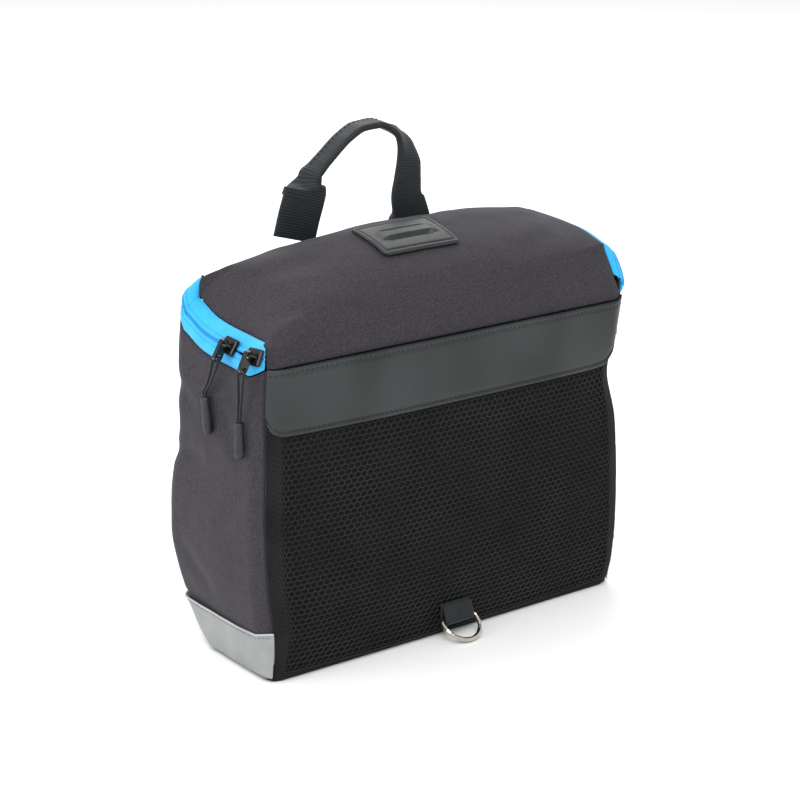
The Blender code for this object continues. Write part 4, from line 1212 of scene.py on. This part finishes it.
@dataclass
class FrontTrim:
    """The net pocket and the smooth band over its top."""

    form: BagForm
    shop: Workshop
    looks: Finishes
    cell: float = 0.0034
    yarn: float = 0.00075
    net_lift: float = 0.0008
    band_lift: float = 0.0019
    band_wall: float = 0.0014
    end_lift: float = 0.0009
    end_reach: float = 0.012
    stitch_line: float = 0.0033

    def net(self) -> None:
        """Six-sided cells of knitted yarn, laid over the front."""
        form = self.form
        seam = form.side_seam - 0.004

        def surface(run: float, share: float) -> Vector:
            """Place on the net."""
            side = -1 if run < 0 else 1
            low = form.front_hem(side, abs(run)) * 0.9
            return form.body(side, abs(run), mix(low, form.band_bottom(side, abs(run)) + 0.02, share))

        cloth = Cloth.over(surface, spread(-seam, seam, 60), spread(0, 1, 36), (0, -1, 0))
        fold = Ripple(0.05, 0.00045, 71).at(cloth.grid) + 0.0003
        tension = Crease((-0.11, -0.036, 0.030), (-0.05, -0.036, 0.060), -0.0008, 0.010).at(cloth.grid)
        proud = np.clip(fold + tension, 0.0, 0.0016) * border_fade(cloth.grid.shape[:2], 8)
        cloth.press(self.net_lift + proud)
        rows, columns = cloth.grid.shape[:2]
        width = float(cloth.reach(Edge.LEFT)[rows // 2, -1])
        height = float(cloth.reach(Edge.BOTTOM)[-1, columns // 2])
        grid = cloth.grid

        def lay(x: float, y: float) -> Tuple[float, float, float]:
            """Place of a flat point on the cloth."""
            c = min(max(x / width, 0.0), 0.99999) * (columns - 1)
            r = min(max(y / height, 0.0), 0.99999) * (rows - 1)
            i, j = int(r), int(c)
            low = mix(grid[i, j], grid[i, j + 1], c - j)
            high = mix(grid[i + 1, j], grid[i + 1, j + 1], c - j)
            return tuple(mix(low, high, r - i))

        radius = self.cell / math.sqrt(3)
        mesh = bpy.data.meshes.new("net_pocket")
        verts: List[Tuple[float, float, float]] = []
        known: Dict[Tuple[int, int], int] = {}
        faces = []
        for q in range(int(height / (1.5 * radius)) + 2):
            for p in range(int(width / self.cell) + 2):
                cx, cy = (p + 0.5 * (q % 2)) * self.cell, q * 1.5 * radius
                face = []
                for k in range(6):
                    turn = math.radians(60 * k + 30)
                    x = min(max(cx + radius * math.cos(turn), 0.0), width)
                    y = min(max(cy + radius * math.sin(turn), 0.0), height)
                    key = (round(x * 2e5), round(y * 2e5))
                    if key not in known:
                        known[key] = len(verts)
                        verts.append(lay(x, y))
                    if known[key] not in face:
                        face.append(known[key])
                if len(face) >= 3:
                    faces.append(face)
        mesh.from_pydata(verts, [], faces)
        mesh.validate()
        obj = bpy.data.objects.new("net_pocket", mesh)
        bpy.context.scene.collection.objects.link(obj)
        yarn = obj.modifiers.new("yarn", "WIREFRAME")
        yarn.thickness = self.yarn
        yarn.use_even_offset = False
        yarn.use_boundary = True
        yarn.use_replace = True
        self.shop.dress(obj, self.looks.net, nodes=["mesh_pocket"], slot=Slot.NET)

    def band(self) -> None:
        """The smooth band with folded, stitched edges."""
        form = self.form
        seam = form.side_seam - 0.004

        def surface(run: float, share: float) -> Vector:
            """Place on the band."""
            side = -1 if run < 0 else 1
            return form.body(side, abs(run), mix(form.band_bottom(side, abs(run)), 0.999, share))

        cloth = Cloth.over(surface, spread(-seam, seam, 64), spread(0, 1, 16), (0, -1, 0), 3)
        sweep = Ripple(0.07, 0.00035, 91).at(cloth.grid)
        lift = self.band_lift + sweep * border_fade(cloth.grid.shape[:2], 8)
        for edge in (Edge.TOP, Edge.BOTTOM):
            away = cloth.reach(edge)
            lift = lift + 0.0007 * ridge(away, 0.0013, 0.0011)
            lift = lift - 0.0006 * ridge(away, self.stitch_line, 0.0006)
            lift = lift - 0.0008 * ridge(away, 0.0, 0.0006)
        ends = np.clip(np.minimum(cloth.reach(Edge.LEFT), cloth.reach(Edge.RIGHT)) / self.end_reach, 0, 1)
        cloth.press(mix(self.end_lift, lift, ends * ends * (3 - 2 * ends)))
        self.shop.dress(self.shop.sheet("smooth_band", cloth.grid, self.band_wall), self.looks.vinyl,
                        nodes=["front_band"], slot=Slot.VINYL)
        for number, edge in enumerate((Edge.TOP, Edge.BOTTOM)):
            name = "band_stitch_%d" % (number + 1)
            row = self.shop.stitches(name, *cloth.row(edge, self.stitch_line), 0.0021, 0.0011)
            self.shop.dress(row, self.looks.black_thread, slot=Slot.VINYL)

    def build(self) -> None:
        """Builds the net and the band."""
        self.net()
        self.band()


@dataclass
class ReflectiveStrips:
    """Grey reflective tape at the foot of both sides."""

    form: BagForm
    shop: Workshop
    looks: Finishes
    lift: float = 0.0010
    wall: float = 0.0007
    stitch_line: float = 0.0028

    def build(self) -> None:
        """Builds both strips with their folded top edge and their stitches."""
        form = self.form
        for word, side in (("left", -1), ("right", 1)):

            def surface(run: float, share: float, side: int = side) -> Vector:
                """Place on the strip."""
                low = form.foot(side, run)
                return form.body(side, run, mix(low, form.strip_top(side, run), share))

            runs = spread(form.side_seam + 0.006, 3.6, 64)
            cloth = Cloth.over(surface, runs, spread(0, 1, 10), (side, 0, 0), 3)
            away = cloth.reach(Edge.TOP)
            lift = self.lift + 0.0004 * ridge(away, 0.0008, 0.0008)
            lift = lift - 0.0003 * ridge(away, self.stitch_line, 0.0006)
            lift = lift + Ripple(0.02, 0.00012, 40 + side).at(cloth.grid)
            cloth.press(lift)
            obj = self.shop.sheet(word + "_reflective_cloth", cloth.grid, self.wall)
            self.shop.dress(obj, self.looks.grey, nodes=[word + "_reflective_strip"], slot=Slot.GREY)
            places, facing = cloth.row(Edge.TOP, 0.0004)
            # The rolled top fold wears the paler copy of the tape, a painted highlight along the strip's
            # edge.
            fold = self.shop.tube(word + "_reflective_fold", places, 0.00055, 8, up=facing)
            self.shop.dress(fold, self.looks.fold_painted_highlight, slot=Slot.GREY)
            row = self.shop.stitches(word + "_strip_stitch", *cloth.row(Edge.TOP, self.stitch_line), 0.0019,
                                     0.0012)
            self.shop.dress(row, self.looks.grey_thread, slot=Slot.GREY)


@dataclass
class Zip:
    """The blue zip in a U round three sides, with sewn tapes and a coil under the folded lips."""

    form: BagForm
    shop: Workshop
    looks: Finishes
    split_place: float = 0.55
    gap: float = 0.0005
    wall: float = 0.0011
    open_from: float = 1.74
    open_to: float = 2.24
    open_gap: float = 0.045
    coil_depth: float = 0.0009
    coil_radius: float = 0.0008
    stitch_line: float = 0.0032

    def parting(self, side: int, run: float) -> float:
        """How far the lips stand apart between the two sliders."""
        if side > 0:
            return 0.0
        middle, half = (self.open_from + self.open_to) / 2, (self.open_to - self.open_from) / 2
        return self.open_gap * ease(1 - abs(run - middle) / half) if abs(run - middle) < half else 0.0

    def tape(self, name: str, nodes: Sequence[str], low: float, high: float, upper: bool) -> None:
        """One half of the zip.

        Args:
            name: name of the piece.
            nodes: the CAD node that it replaces.
            low: share at its upper edge.
            high: share at its lower edge.
            upper: whether it is the half on the lid.
        """
        form = self.form
        start = form.lid_rows[1][3] + 0.004

        def surface(turn: float, share: float) -> Vector:
            """Place on the tape, its turn going from the left front round the back to the right."""
            side = -1 if turn < 0 else 1
            run = 5.0 - abs(turn)
            part = self.parting(side, run)
            first, last = (low, high - part) if upper else (low + part, high)
            return form.zip_surface(side, run, mix(last, first, share))

        half = 5.0 - start
        turns = spread(-half, half, 170)
        cloth = Cloth.over(surface, turns, spread(0, 1, 7), (0, 1, 0.3))
        lip = Edge.BOTTOM if upper else Edge.TOP
        sewn = Edge.TOP if upper else Edge.BOTTOM
        away = cloth.reach(lip)
        lift = 0.0005 * ridge(away, 0.0012, 0.0012) - 0.0004 * ridge(away, self.stitch_line, 0.0006)
        wrinkle = Ripple(0.02, 0.00022, 60 + upper).at(cloth.grid)
        lift = lift + wrinkle * border_fade(cloth.grid.shape[:2], 3)
        cloth.press(lift).seam((sewn,), 0.0003, 0.0012)
        tape = self.shop.sheet(name, cloth.grid, self.wall)
        self.shop.dress(tape, self.looks.blue, nodes=nodes, slot=Slot.BLUE)
        row = self.shop.stitches(name + "_coil", *cloth.row(lip, 0.0006), 0.0009, 0.0004, 0.0003)
        self.shop.dress(row, self.looks.coil, slot=Slot.BLUE)
        row = self.shop.stitches(name + "_stitch", *cloth.row(lip, self.stitch_line), 0.0014, 0.0010, 0.00022)
        self.shop.dress(row, self.looks.coil, slot=Slot.BLUE)

    def build(self) -> None:
        """Builds both tapes."""
        split = self.gap / (2 * self.form.zip_rise)
        self.tape("upper_tape", ["upper_zip_tape"], 0.0, self.split_place - split, True)
        self.tape("lower_tape", ["lower_zip_tape"], self.split_place + split, 1.0, False)
        self.coil("front_zip_coil", 5.0 - self.open_from, 5.0 - self.form.lid_rows[1][3])
        self.coil("main_zip_coil", self.form.lid_rows[1][3] - 5.0, 5.0 - self.open_to)

    def coil(self, name: str, start: float, end: float) -> None:
        """The closed coil behind the lips, over a stretch of the zip.

        Args:
            name: name of the piece.
            start: turn where it starts: 0 in the middle of the back, above 0 on the left.
            end: turn where it ends.
        """
        surface = self.form.zip_surface
        places, facing = [], []
        for turn in spread(start, end, max(int(abs(end - start) * 40), 8)):
            side = -1 if turn > 0 else 1
            run = 5.0 - abs(turn)
            step = surface(side, run, 0.56) - surface(side, run, 0.54)
            ahead = surface(side, run + 0.01, 0.55) - surface(side, run - 0.01, 0.55)
            out = ahead.cross(step).normalized()
            middle = Vector((0, 0.02, 0.19))
            place = surface(side, run, self.split_place)
            out = out if out.dot(place - middle) > 0 else -out
            places.append(place - out * self.coil_depth)
            facing.append(out)
        self.shop.dress(self.shop.tube(name, places, self.coil_radius, 8, up=facing), self.looks.coil,
                        slot=Slot.BLUE)


@dataclass
class Puller:
    """A zip puller: a cord through the tab's eye and a rubber grip, hanging down the left side."""

    form: BagForm
    shop: Workshop
    looks: Finishes
    word: str
    run: float
    top_back: float
    top_height: float
    low_back: float
    low_height: float
    slider_place: float = 0.52
    slider_thick: float = 0.0026
    bridge_rise: float = 0.0036
    eye_radius: float = 0.0017
    eye_wall: float = 0.0008
    tab_reach: float = 0.0085
    tab_width: float = 0.0026
    tab_tilt: float = 0.20
    tab_drop: float = 0.16
    cord_radius: float = 0.0008
    strands: float = 0.0023
    grip_radius: float = 0.0029
    grip_length: float = 0.0205
    gap: float = 0.0003

    def zip_normal(self, step: float = 0.01) -> Vector:
        """Outward normal of the zip under the slider."""
        place, surface = self.slider_place, self.form.zip_surface
        along = surface(-1, self.run + step, place) - surface(-1, self.run - step, place)
        down = surface(-1, self.run, place + step) - surface(-1, self.run, place - step)
        normal = along.cross(down).normalized()
        return normal if normal.x < 0 or normal.y < 0 else -normal

    def wall_at(self, back: float, height: float) -> Tuple[Vector, Vector]:
        """The side's point and normal at a distance behind the front edge and a height."""
        form = self.form
        run, level = 2.5, height / form.body_height
        for _ in range(40):
            point = form.body(-1, run, level)
            run = min(max(run - (point.y - form.front_edge - back) / form.body_depth, 1.3), 3.6)
            level -= (point.z - height) / form.body_height
        return point, form.body_normal(-1, run, min(level, 0.985))

    def build(self) -> None:
        """Builds the cord and the grip."""
        form = self.form
        seat_low = form.zip_surface(-1, self.run + 0.03, self.slider_place)
        ahead = seat_low - form.zip_surface(-1, self.run - 0.03, self.slider_place)
        normal = self.zip_normal()
        under = 2 * self.gap + self.slider_thick / 2
        seat = form.zip_surface(-1, self.run, self.slider_place) + normal * under
        bar = seat + normal * (self.slider_thick / 2 + self.bridge_rise)
        along = (ahead - normal * ahead.dot(normal)).normalized()
        slope = Vector((0, 0, -1))
        slope = (slope - normal * slope.dot(normal)).normalized()
        down = (slope - normal * self.tab_drop + along * self.tab_tilt).normalized()
        axis = (along - down * along.dot(down)).normalized()
        outer = self.eye_radius + self.eye_wall
        top, top_normal = self.wall_at(self.top_back * form.body_depth, self.top_height * form.body_height)
        low, low_normal = self.wall_at(self.low_back * form.body_depth, self.low_height * form.body_height)
        clear = self.grip_radius + 2 * self.gap
        grip_top = top + top_normal * clear
        grip_axis = (low + low_normal * clear - grip_top).normalized()
        eye = bar + down * self.tab_reach
        apart = axis * (self.tab_width / 2 + self.cord_radius + self.gap)
        together = Vector((0, self.strands / 2, 0)) * (1 if axis.y > 0 else -1)
        start = grip_top - grip_axis * self.gap
        below = eye + down * (outer + self.cord_radius)
        strand = [(start, together), (start - grip_axis * self.cord_radius * 3, together),
                  (mix(start, below, 0.5), together * 1.3), (below, apart),
                  (eye + down * self.cord_radius, apart), (eye, apart - axis * self.cord_radius)]
        route = [place - away for place, away in strand] + [place + away for place, away in reversed(strand)]
        smooth = finer(np.array([tuple(p) for p in route]), 6)
        cord = self.shop.tube(self.word + "_puller_cord", [Vector(p) for p in smooth], self.cord_radius, 10)
        self.shop.dress(cord, self.looks.cord, nodes=[self.word + "_pull_cord"], slot=Slot.WEBBING)
        self.grip(grip_top, grip_axis)

    def grip(self, top: Vector, axis: Vector) -> None:
        """The turned rubber grip with a collar and fine rings."""
        r, length = self.grip_radius, self.grip_length
        profile = Curve((0, 0.02, 0.07, 0.10, 0.14, 0.30, 0.60, 0.85, 0.95, 1.0),
                        (0.50, 0.80, 0.92, 0.92, 0.80, 0.88, 0.98, 1.0, 0.86, 0.40))
        across = axis.orthogonal().normalized()
        beside = axis.cross(across)
        verts, faces, sides, rings = [], [], 20, 46
        for i in range(rings + 1):
            share = i / rings
            groove = 0.05 * math.sin(share * 60) ** 8 if 0.2 < share < 0.9 else 0.0
            radius = r * (profile.at(share) - groove)
            for k in range(sides):
                turn = 2 * math.pi * k / sides
                around = across * math.cos(turn) + beside * math.sin(turn)
                verts.append(top + axis * share * length + around * radius)
        for i in range(rings):
            for k in range(sides):
                a, b = i * sides + k, i * sides + (k + 1) % sides
                faces.append((a, b, b + sides, a + sides))
        faces.append(tuple(range(sides))[::-1])
        faces.append(tuple(rings * sides + k for k in range(sides)))
        grip = self.shop.link(self.word + "_puller_grip", verts, faces)
        self.shop.dress(grip, self.looks.grip, nodes=[self.word + "_pull_grip"], slot=Slot.RUBBER)


@dataclass
class Handle:
    """One ribbed webbing strap, flat at its ends and folded in half where it is held."""

    form: BagForm
    shop: Workshop
    looks: Finishes
    width: float = 0.029
    wall: float = 0.0018
    span: float = 0.083
    rise: float = 0.066
    fold_gap: float = 0.0004
    fold_edge: float = 0.002
    fold_start: float = 0.15
    rib: float = 0.0015
    rib_height: float = 0.00007

    # along, across, up, angle, lean, fold
    rows = (
        (0, -0.925, 0.000, 170, 0, 0.00), (1, -0.841, 0.182, 165, 0, 0.00), (2, -0.752, 0.348, 160, 0, 0.00),
        (3, -0.706, 0.455, 154, 6, 0.03), (4, -0.730, 0.553, 142, 74, 0.85),
        (5, -0.622, 0.644, 136, 86, 1.00),
        (6, -0.477, 0.727, 134, 89, 1.00), (7, -0.181, 0.874, 122, 90, 1.00), (8, 0.089, 0.950, 98, 90, 1.00),
        (9, 0.349, 0.958, 66, 88, 1.00), (10, 0.586, 0.894, 60, 84, 1.00), (11, 0.711, 0.812, 32, 58, 0.98),
        (12, 0.740, 0.712, 14, 26, 0.88), (13, 0.720, 0.591, 5, 7, 0.72), (14, 0.672, 0.439, 3, 3, 0.56),
        (15, 0.619, 0.258, 2, 1, 0.26), (16, 0.677, 0.000, 2, 0, 0.00),
    )

    def section(self, place: Vector, tangent: Vector, outer: Vector, fold: float,
                swell: float) -> Tuple[List[Vector], List[float]]:
        """Outline of the strap across its run.

        Args:
            place: point of the fold line.
            tangent: direction of the run.
            outer: direction from the fold line over the strap's outer part.
            fold: how far it is folded, from 0 to 1.
            swell: extra half thickness of a rib.

        Returns:
            The outline and the length across of each of its points.
        """
        behind = outer.cross(tangent).normalized()
        turn = math.pi * min(fold / self.fold_start, 1.0)
        bend = math.pi * (self.wall + self.fold_gap) / 2
        inner = mix(self.fold_edge, (self.width - bend) / 2, fold)
        straight = self.width - bend - inner
        shares = (1.0, 0.97, 0.75, 0.5, 0.25)
        middle = [(place + outer * straight * s, -behind, -straight * s) for s in shares]
        for share in spread(0.0, 1.0, 8):
            angle = turn * share
            reach = bend * share if turn < 0.001 else math.sin(angle) * bend / turn
            rise = 0.0 if turn < 0.001 else (1 - math.cos(angle)) * bend / turn
            middle.append((place - outer * reach + behind * rise,
                           -behind * math.cos(angle) - outer * math.sin(angle), bend * share))
        end, facing, run = middle[-1]
        heading = -outer * math.cos(turn) + behind * math.sin(turn)
        middle += [(end + heading * inner * s, facing, run + inner * s) for s in (0.3, 0.6, 0.95, 1.0)]
        last = len(middle) - 1
        front, back = [], []
        for i, (spot, face, _) in enumerate(middle):
            half = self.wall / 2 * (0.45 if i in (0, last) else 1.0) + (0 if i in (0, last) else swell)
            front.append(spot + face * half)
            back.append(spot - face * half)
        lengths = [row[2] for row in middle]
        return front + back[::-1], lengths + lengths[::-1]

    def build(self) -> None:
        """Builds the strap with its cross ribs, and the stitches that hold it folded."""
        form = self.form
        across, up, angle, lean, fold = curves(self.rows)
        back = form.zip_edge(1, 5.0).y + self.wall / 2
        foot = form.body_height + form.lid_rise * 0.824
        last = self.rows[-1][0]

        def line(at: float) -> Vector:
            """Point of the fold line."""
            return Vector((across.at(at) * self.span / 2, back, foot + up.at(at) * self.rise))

        count, run = last * 24, 0.0
        verts, uvs, faces = [], [], []
        edge_places, edge_facing = [], []
        for k in range(count + 1):
            at = k * last / count
            if k:
                run += (line(at) - line(at - last / count)).length
            tangent = (line(min(at + 0.1, last)) - line(max(at - 0.1, 0))).normalized()
            turn, tip = math.radians(angle.at(at)), math.radians(lean.at(at))
            outer = Vector((math.cos(turn) * math.cos(tip), math.sin(tip), math.sin(turn) * math.cos(tip)))
            outer = (outer - tangent * outer.dot(tangent)).normalized()
            swell = self.rib_height * math.sin(2 * math.pi * run / self.rib)
            outline, lengths = self.section(line(at), tangent, outer, fold.at(at), swell)
            if k == 0:
                size = len(outline)
            verts += outline
            uvs += [(length, run) for length in lengths]
            if 4.6 < at < 10.6:
                edge_places.append(outline[1] + (outline[2] - outline[1]).normalized() * 0.0022)
                edge_facing.append((outline[1] - outline[size - 2]).normalized())
        for k in range(count):
            for j in range(size):
                a, b = k * size, (k + 1) * size
                faces.append((a + j, a + (j + 1) % size, b + (j + 1) % size, b + j))
        half = size // 2
        for ring in (0, count * size):
            for j in range(half - 1):
                faces.append((ring + j, ring + j + 1, ring + size - 2 - j, ring + size - 1 - j))
        strap = self.shop.link("strap_handle", verts, faces, uvs)
        strap.data.validate()
        self.shop.dress(strap, self.looks.webbing, nodes=["handle"], slot=Slot.WEBBING)
        row = self.shop.stitches("handle_stitch", edge_places, edge_facing, 0.0022, 0.0012, 0.0003)
        self.shop.dress(row, self.looks.black_thread, slot=Slot.WEBBING)


@dataclass
class LightClipPatch:
    """Rubber tab on the lid with a raised border, a groove, two slots and a bridge between them."""

    form: BagForm
    shop: Workshop
    looks: Finishes
    width: float = 0.054
    depth: float = 0.034
    wall: float = 0.0022
    back: float = 0.044
    crown: float = 0.0022
    gap: float = 0.0003
    corner: float = 0.0035

    def lid_at(self, x: float, back: float) -> Vector:
        """The lid's point at a place across and a distance behind the front edge."""
        form = self.form
        share, along = x / (form.base_width / 2), 0.5
        for _ in range(16):
            point = form.lid(share, along)
            share += (x - point.x) / form.base_width
            along = min(max(along + (form.front_edge + back - point.y) / (form.lid_depth * 2), 0.0), 1.0)
        return form.lid(share, along)

    def build(self) -> None:
        """Builds the patch as one sculpted sheet."""
        half_x, half_y = self.width / 2, self.depth / 2

        def surface(a: float, b: float) -> Vector:
            """Place under the patch, its corners rounded."""
            x, y = a * half_x, b * half_y
            over_x = max(abs(x) - half_x + self.corner, 0.0)
            over_y = max(abs(y) - half_y + self.corner, 0.0)
            reach = math.hypot(over_x, over_y)
            if reach > self.corner:
                x -= math.copysign(over_x * (1 - self.corner / reach), x)
                y -= math.copysign(over_y * (1 - self.corner / reach), y)
            return self.lid_at(x, self.back + y)

        cloth = Cloth.over(surface, spread(-1, 1, 40), spread(-1, 1, 26), (0, -0.3, 1), 3)
        rows, columns = cloth.grid.shape[:2]
        a = np.linspace(-1, 1, columns)[None, :] * half_x + np.zeros((rows, 1))
        b = np.linspace(-1, 1, rows)[:, None] * half_y + np.zeros((1, columns))
        edge = np.minimum(half_x - np.abs(a), half_y - np.abs(b))
        lift = self.gap + self.wall - 0.0010 * ridge(edge, 0.0, 0.0006)
        lift = lift - 0.0007 * ridge(edge, 0.0030, 0.0005)
        across = np.clip((0.40 * self.width - np.abs(a)) / 0.006, 0, 1)
        bridge = np.clip((0.17 * self.depth - np.abs(b)) / 0.0022, 0, 1)
        lift = lift + self.crown * 0.6 * (bridge ** 2 * (3 - 2 * bridge)) * (across ** 2 * (3 - 2 * across))
        for sign in (-1, 1):
            away = np.abs(b - sign * 0.135 * self.depth) / 0.0013
            run = np.clip((0.30 * self.width - np.abs(a)) / 0.003, 0, 1)
            lift = lift - 0.0019 * np.exp(-away ** 4) * run
        cloth.press(lift)
        patch = self.shop.sheet("rubber_patch", cloth.grid, self.wall * 0.75)
        self.shop.dress(patch, self.looks.rubber, nodes=["light_clip_patch"], slot=Slot.RUBBER)


@dataclass
class RingLoop:
    """Short webbing loop low on the front that holds the ring's straight bar."""

    form: BagForm
    shop: Workshop
    looks: Finishes
    width: float = 0.020
    height: float = 0.0090
    wall: float = 0.0015
    wire: float = 0.0014
    play: float = 0.0004
    bar: Colour = (0.0, -0.03952, 0.0112)

    def build(self) -> None:
        """Builds the loop round the bar."""
        outer = self.wire + self.play + self.wall
        path = [(outer, self.height * (1 - s)) for s in spread(0, 1, 6)]
        path += [(outer * math.cos(t), outer * math.sin(t)) for t in spread(0, -math.pi, 16)[1:]]
        top = (outer - 2 * self.wall, self.height)
        path += [(mix(-outer, top[0], s), mix(0, top[1], s)) for s in spread(0, 1, 8)[1:]]
        centre = Vector(self.bar)
        grid = []
        for k, (forward, up) in enumerate(path):
            row = []
            for share in spread(-1, 1, 28):
                edge = 1 - 0.02 * abs(share) ** 8
                sag = 0.0002 * math.sin(share * 9) * (1 if k > 20 else 0)
                row.append((centre.x + share * self.width / 2, centre.y + forward * edge,
                            centre.z + up * edge + sag))
            grid.append(row)
        cloth = Cloth(np.array(grid), (0, 0, -1))
        loop = self.shop.sheet("webbing_loop", cloth.grid, self.wall * 0.85)
        self.shop.dress(loop, self.looks.webbing, nodes=["ring_loop"], slot=Slot.WEBBING)


@dataclass
class HardParts:
    """Hard CAD nodes that stay, each with its own finish."""

    frame: dict
    looks: Finishes

    def build(self) -> None:
        """Gives each hard node its finish."""
        wanted = {"front_zip_slider": self.looks.gloss, "rear_zip_slider": self.looks.gloss,
                  "front_pull_tab": self.looks.gloss, "rear_pull_tab": self.looks.gloss,
                  "d_ring": self.looks.steel, "mount_plate": self.looks.plastic}
        for name, material in wanted.items():
            node = self.frame["nodes"][name]
            for slot in node.material_slots:
                slot.material = material
            LOG.info("node %s keeps its shape, finish %s", name, material.name)


@dataclass
class Studio:
    """Pale floor, soft lights and the camera at the photograph's angle."""

    place: Colour = (-0.7388, -0.9645, 0.5092)
    turn: float = 37.0
    drop: float = 17.2
    lens: float = 99.0

    def floor(self) -> None:
        """A wide pale floor."""
        mesh = bpy.data.meshes.new("floor")
        size = 6.0
        corners = [(-size, -size, 0), (size, -size, 0), (size, size, 0), (-size, size, 0)]
        mesh.from_pydata(corners, [], [(0, 1, 2, 3)])
        obj = bpy.data.objects.new("floor", mesh)
        bpy.context.scene.collection.objects.link(obj)
        obj.location.z = -0.0004
        b = Board("pale_floor")
        cloud = b.noise(b.places(), 0.8, 2.0)
        colour = b.blend(cloud, linear("f3f3f3"), linear("fafafa"))
        mesh.materials.append(b.surface(colour, cloud * 0.05 + 0.85, cloud, 0.02))

    def light(self, name: str, place: Colour, size: float, power: float) -> None:
        """One square soft light that faces the bag."""
        data = bpy.data.lights.new(name, "AREA")
        data.size = size
        data.energy = power
        obj = bpy.data.objects.new(name, data)
        bpy.context.scene.collection.objects.link(obj)
        obj.location = place
        obj.rotation_euler = (Vector((0, 0, 0.12)) - Vector(place)).to_track_quat("-Z", "Y").to_euler()

    def build(self) -> None:
        """Sets the floor, the lights, the sky and the camera."""
        self.floor()
        self.light("key_light", (-1.1, -1.6, 2.2), 1.4, 42)
        self.light("side_light", (-2.2, 0.3, 1.3), 1.6, 24)
        self.light("back_light", (0.9, 1.6, 1.9), 1.5, 26)
        world = bpy.data.worlds.new("soft_room")
        world.use_nodes = True
        sky = world.node_tree.nodes["Background"]
        sky.inputs["Color"].default_value = (1.0, 1.0, 1.0, 1)
        sky.inputs["Strength"].default_value = 0.85
        bpy.context.scene.world = world
        data = bpy.data.cameras.new("photo_camera")
        data.lens = self.lens
        data.sensor_width = 36.0
        data.clip_start = 0.05
        camera = bpy.data.objects.new("photo_camera", data)
        bpy.context.scene.collection.objects.link(camera)
        camera.location = self.place
        camera.rotation_euler = (math.radians(90 - self.drop), 0, math.radians(-self.turn))
        bpy.context.scene.camera = camera
        bpy.context.scene.view_settings.view_transform = "Standard"


def main() -> None:
    """Builds the bag round the frame and reports each piece."""
    logging.basicConfig(level=logging.INFO, format="%(message)s")
    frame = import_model()
    Studio().build()
    form, shop, looks = BagForm(), Workshop(), Finishes()
    Panels(form, shop, looks).build()
    FrontTrim(form, shop, looks).build()
    ReflectiveStrips(form, shop, looks).build()
    Zip(form, shop, looks).build()
    Puller(form, shop, looks, "front", 1.68, 0.15, 0.832, 0.14, 0.718).build()
    Puller(form, shop, looks, "rear", 2.3, 0.49, 0.866, 0.455, 0.754).build()
    Handle(form, shop, looks).build()
    LightClipPatch(form, shop, looks).build()
    RingLoop(form, shop, looks).build()
    HardParts(frame, looks).build()
    bpy.context.view_layer.update()


if __name__ == "__main__":
    main()
